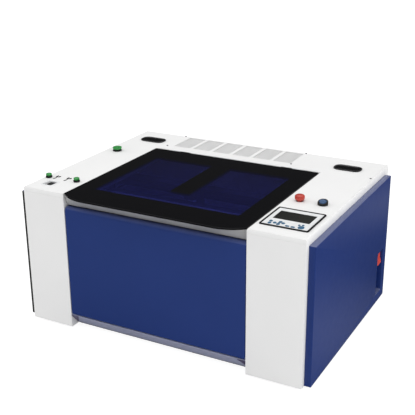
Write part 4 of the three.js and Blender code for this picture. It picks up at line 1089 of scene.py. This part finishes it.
def mirror_mount(name, body, at, turn):
    """A mirror plate on a block, with three brass adjusting knobs behind it."""
    spin = Matrix.Rotation(turn, 3, "Z")
    plate = moved(block((-14, -2, 0), (14, 2, 28), 0.8), at, spin)
    back = moved(block((-14, 4, 0), (14, 8, 28), 0.8), at, spin)
    piece(name + "_plates", merge(plate, back), cast_paint, body=body)
    knobs = []
    for x, z in ((-9, 6), (9, 6), (-9, 22)):
        stem = lathe([(1.5, -10), (1.5, 0)], 16)
        upright = moved(merge(knob(3.6, 7), stem), (x, 9.5, z), facing((0, 1, 0)))
        knobs.append(moved(upright, at, spin))
    piece(name + "_knobs", merge(*knobs), brass, body=body)
    glass = lathe([(9.0, 0), (9.4, 0.4), (9.4, 1.0), (8.8, 1.3)], 40)
    glass = moved(moved(glass, (0, -2.1, 14), facing((0, -1, 0))), at, spin)
    piece(name + "_glass", glass, bright_steel, body=body)


def head_details():
    """Mirror, air hose barb and focus ring on the moving head."""
    low, high = node_box("head_carriage")
    tube_low, tube_high = node_box("focus_tube")
    x, y = plan_centre(tube_low, tube_high)
    ring = ring_lathe([(12.4, 0), (13.2, 0.6), (13.2, 6.4), (12.4, 7), (12.0, 3.5)], 48)
    corner = (low.x + 18, low.y + 18, high.z - MIRROR_DROP)
    mirror_mount("head_mirror", "head", corner, math.radians(45))
    barb = lathe([(2.0, 0), (3.2, 1), (2.4, 4), (3.2, 5), (2.4, 8), (3.0, 9), (2.0, 12)], 24)
    at = (tube_high.x - 3, y, tube_low.z + 14)
    piece("air_barb", moved(barb, at, facing((1, 0, 0))), brass, body="focus")
    piece("focus_ring", moved(ring, (x, y, low.z - 12)), bright_steel, body="focus")


def gantry_mirror():
    """The second mirror, on top of the beam's left end."""
    low, high = node_box("gantry_beam")
    at = (low.x + 20, middle("gantry_beam").y, high.z + 0.4)
    mirror_mount("beam_mirror", "gantry", at, math.radians(-135))


def light_bar():
    """A strip light across the lid frame: a pale cover in front, its dark channel behind."""
    x = (LIGHT_BAR["left"], LIGHT_BAR["right"])
    front = node_box("lid_glass")[0].y + LIGHT_BAR["front"]
    seam = front + LIGHT_BAR["cover"]
    z = node_box("lid_frame")[0].z
    cover = block((x[0] + 2, front, z - 6), (x[1] - 2, seam - 0.3, z - 0.3), 1.5)
    channel = block((x[0], seam, z - 6), (x[1], seam + LIGHT_BAR["channel"], z - 0.3), 1.5)
    piece("light_bar_cover", cover, lamp_cover, body="lid")
    piece("light_bar_channel", channel, frame_plastic, body="lid")


def door_seal():
    """A rubber edge around the back of the door, and two latch plates at its top."""
    low, high = node_box("front_door")
    x, z = (low.x, high.x), (low.z, high.z)
    rings = []
    for y, step in ((high.y - 4, -0.5), (high.y + 1, -0.2), (high.y + 1, 2.4), (high.y - 4, 2.6)):
        rings.append(front_ring(y, inset(x, step), inset(z, step), PANEL_CORNER))
    piece("door_edge_seal", loft(rings, closed=True), dark_rubber, body="door")
    plates = []
    top = high.z - 8
    for across in (0.2, 0.8):
        plate_x = low.x + (high.x - low.x) * across
        plates.append(block((plate_x - 18, high.y - 9, top - 24), (plate_x + 18, high.y - 6, top), 1.5))
    piece("door_latch_plates", merge(*plates), screw_steel, body="door")


def rear_services():
    """Screws round the exhaust flange, pins in the mains inlet and three hose barbs."""
    flange = middle("exhaust_port")
    sides = (-FLANGE_SCREW, FLANGE_SCREW)
    corners = [(flange.x + u, FLANGE_FACE, flange.z + w) for u in sides for w in sides]
    screws("exhaust_screws", screw_steel, 3, corners, (0, 1, 0))
    inlet = middle("mains_inlet")
    pins = []
    for u, w in ((-7, -2), (0, 3), (7, -2)):
        x, z = inlet.x + u, inlet.z + w
        pins.append(block((x - 1, FLANGE_FACE - 18.5, z - 2.5), (x + 1, FLANGE_FACE - 4, z + 2.5), 0.4))
    piece("inlet_pins", merge(*pins), brass)
    wall = node_box("chassis_pan")[1].y
    profile = [(9, 0), (9, 4), (4, 4.5), (5.2, 10), (4, 14), (5.2, 16), (4, 20), (4.6, 22), (3, 24)]
    barb = lathe(profile, 32)
    barbs = [moved(barb, (x, wall, BARB_HEIGHT), facing((0, 1, 0))) for x in BARBS_AT]
    piece("hose_barbs", merge(*barbs), brass)


def rocker():
    """The red rocker in the switch pocket keeps its CAD shape."""
    dress(rocker_plastic, "power_rocker")
    soften(1.8, "power_rocker", segments=4)


# --- studio
def light_paths(tree, camera, glossy, diffuse):
    """A colour that depends on the kind of ray: seen by the camera, in gloss, or as light."""
    paths = tree.nodes.new("ShaderNodeLightPath")
    first = tree.nodes.new("ShaderNodeMix")
    second = tree.nodes.new("ShaderNodeMix")
    for node in (first, second):
        node.data_type = "RGBA"
    tree.links.new(paths.outputs["Is Glossy Ray"], first.inputs[0])
    tree.links.new(paths.outputs["Is Camera Ray"], second.inputs[0])
    tree.links.new(first.outputs[2], second.inputs[6])
    inputs = ((first.inputs[6], diffuse), (first.inputs[7], glossy), (second.inputs[7], camera))
    for socket, value in inputs:
        if isinstance(value, bpy.types.NodeSocket):
            tree.links.new(value, socket)
        else:
            socket.default_value = (value, value, value, 1.0)
    return second.outputs[2]


def sky():
    """White to the eye and as fill light, but dim in reflections except overhead."""
    world = bpy.data.worlds.new("studio")
    bpy.context.scene.world = world
    world.use_nodes = True
    tree = world.node_tree
    background = tree.nodes["Background"]
    coordinates = tree.nodes.new("ShaderNodeTexCoord")
    split = tree.nodes.new("ShaderNodeSeparateXYZ")
    tree.links.new(coordinates.outputs["Generated"], split.inputs[0])
    height = tree.nodes.new("ShaderNodeMapRange")
    tree.links.new(split.outputs[2], height.inputs[0])
    for socket, number in zip(list(height.inputs)[1:5], (0.40, 0.95, GLOSS_SKY, GLOSS_ZENITH)):
        socket.default_value = number
    colour = light_paths(tree, 1.0, height.outputs[0], AMBIENT)
    tree.links.new(colour, background.inputs[0])


def floor():
    """A plain pale floor that fades into the white background, with pools of painted light that only
    reflections see.
    """
    corners = ((-1, -1), (1, -1), (1, 1), (-1, 1))
    outline = [Vector((x * FLOOR_SIZE, y * FLOOR_SIZE, 0)) for x, y in corners]
    mesh = bpy.data.meshes.new("floor")
    mesh.from_pydata(outline, [], [(0, 1, 2, 3)])
    thing = new_object("floor", mesh)
    s = Shader("floor_paper")
    s.set(Roughness=0.9, Specular_IOR_Level=0.0)
    gloss = FLOOR_GLOSS
    # Painted light: each pool brightens the floor as reflections see it, fading out from its centre.
    for x, y, radius, strength in PAINTED_LIGHT_POOLS:
        reach = s.add("ShaderNodeVectorMath", operation="DISTANCE")
        s.feed(reach.inputs[0], s.position)
        reach.inputs[1].default_value = (x, y, 0)
        gloss = s.math("ADD", gloss, s.remap(reach.outputs["Value"], strength, 0.0, 0.0, radius))
    tone = light_paths(s.tree, 0.3, gloss, FLOOR_BOUNCE)
    s.set(Base_Color=tone, Emission_Color=(1, 1, 1, 1))
    eye = s.add("ShaderNodeLightPath").outputs["Is Camera Ray"]
    s.set(Emission_Strength=s.math("MULTIPLY", eye, 0.9))
    mesh.materials.append(s.material)


def area_light(name, place, target, size, power, in_gloss=False):
    """A soft round light, seen in reflections only if it says so."""
    light = bpy.data.lights.new(name, "AREA")
    light.shape = "DISK"
    light.size = size
    light.energy = power
    thing = new_object(name, light)
    thing.location = place
    thing.rotation_euler = (Vector(target) - Vector(place)).to_track_quat("-Z", "Y").to_euler()
    thing.visible_glossy = in_gloss


def camera():
    """The camera, aimed at its target and turned about its own axis by the roll."""
    data = bpy.data.cameras.new("camera")
    data.lens = CAMERA_LENS
    data.sensor_width = SENSOR_WIDTH
    thing = new_object("camera", data)
    azimuth = math.radians(CAMERA_AZIMUTH)
    elevation = math.radians(CAMERA_ELEVATION)
    level_reach = math.cos(elevation)
    away = Vector((math.sin(azimuth) * level_reach, -math.cos(azimuth) * level_reach, math.sin(elevation)))
    thing.location = CAMERA_TARGET + away * CAMERA_DISTANCE
    roll = Quaternion((0, 0, 1), math.radians(CAMERA_ROLL))
    thing.rotation_mode = "QUATERNION"
    thing.rotation_quaternion = (-away).to_track_quat("-Z", "Y") @ roll
    bpy.context.scene.camera = thing


def studio():
    """Sky, floor, three soft lights and the camera."""
    sky()
    floor()
    area_light("key", (0.2, -1.4, 3.4), (0, 0, 0.3), 2.6, 10, in_gloss=True)
    area_light("right", (3.0, -0.3, 1.1), (0.4, 0, 0.2), 1.8, 20)
    area_light("left", (-3.0, -0.3, 1.1), (-0.4, 0, 0.2), 1.8, 20)
    camera()
    view = bpy.context.scene.view_settings
    view.view_transform = "Standard"
    view.look = "None"


cabinet_finishes()
left_side_panel()
right_side_panel()
door()
sill_details()
vents()
grip("left")
grip("right")
start_button()
lamp_button()
small_button("fan")
small_button("air")
stop_button()
data_port()
icons()
controller()
keypad()
cover_screws()
feet()
rocker()
drives()
lead_screws()
honeycomb()
head_details()
gantry_mirror()
light_bar()
door_seal()
rear_services()
studio()
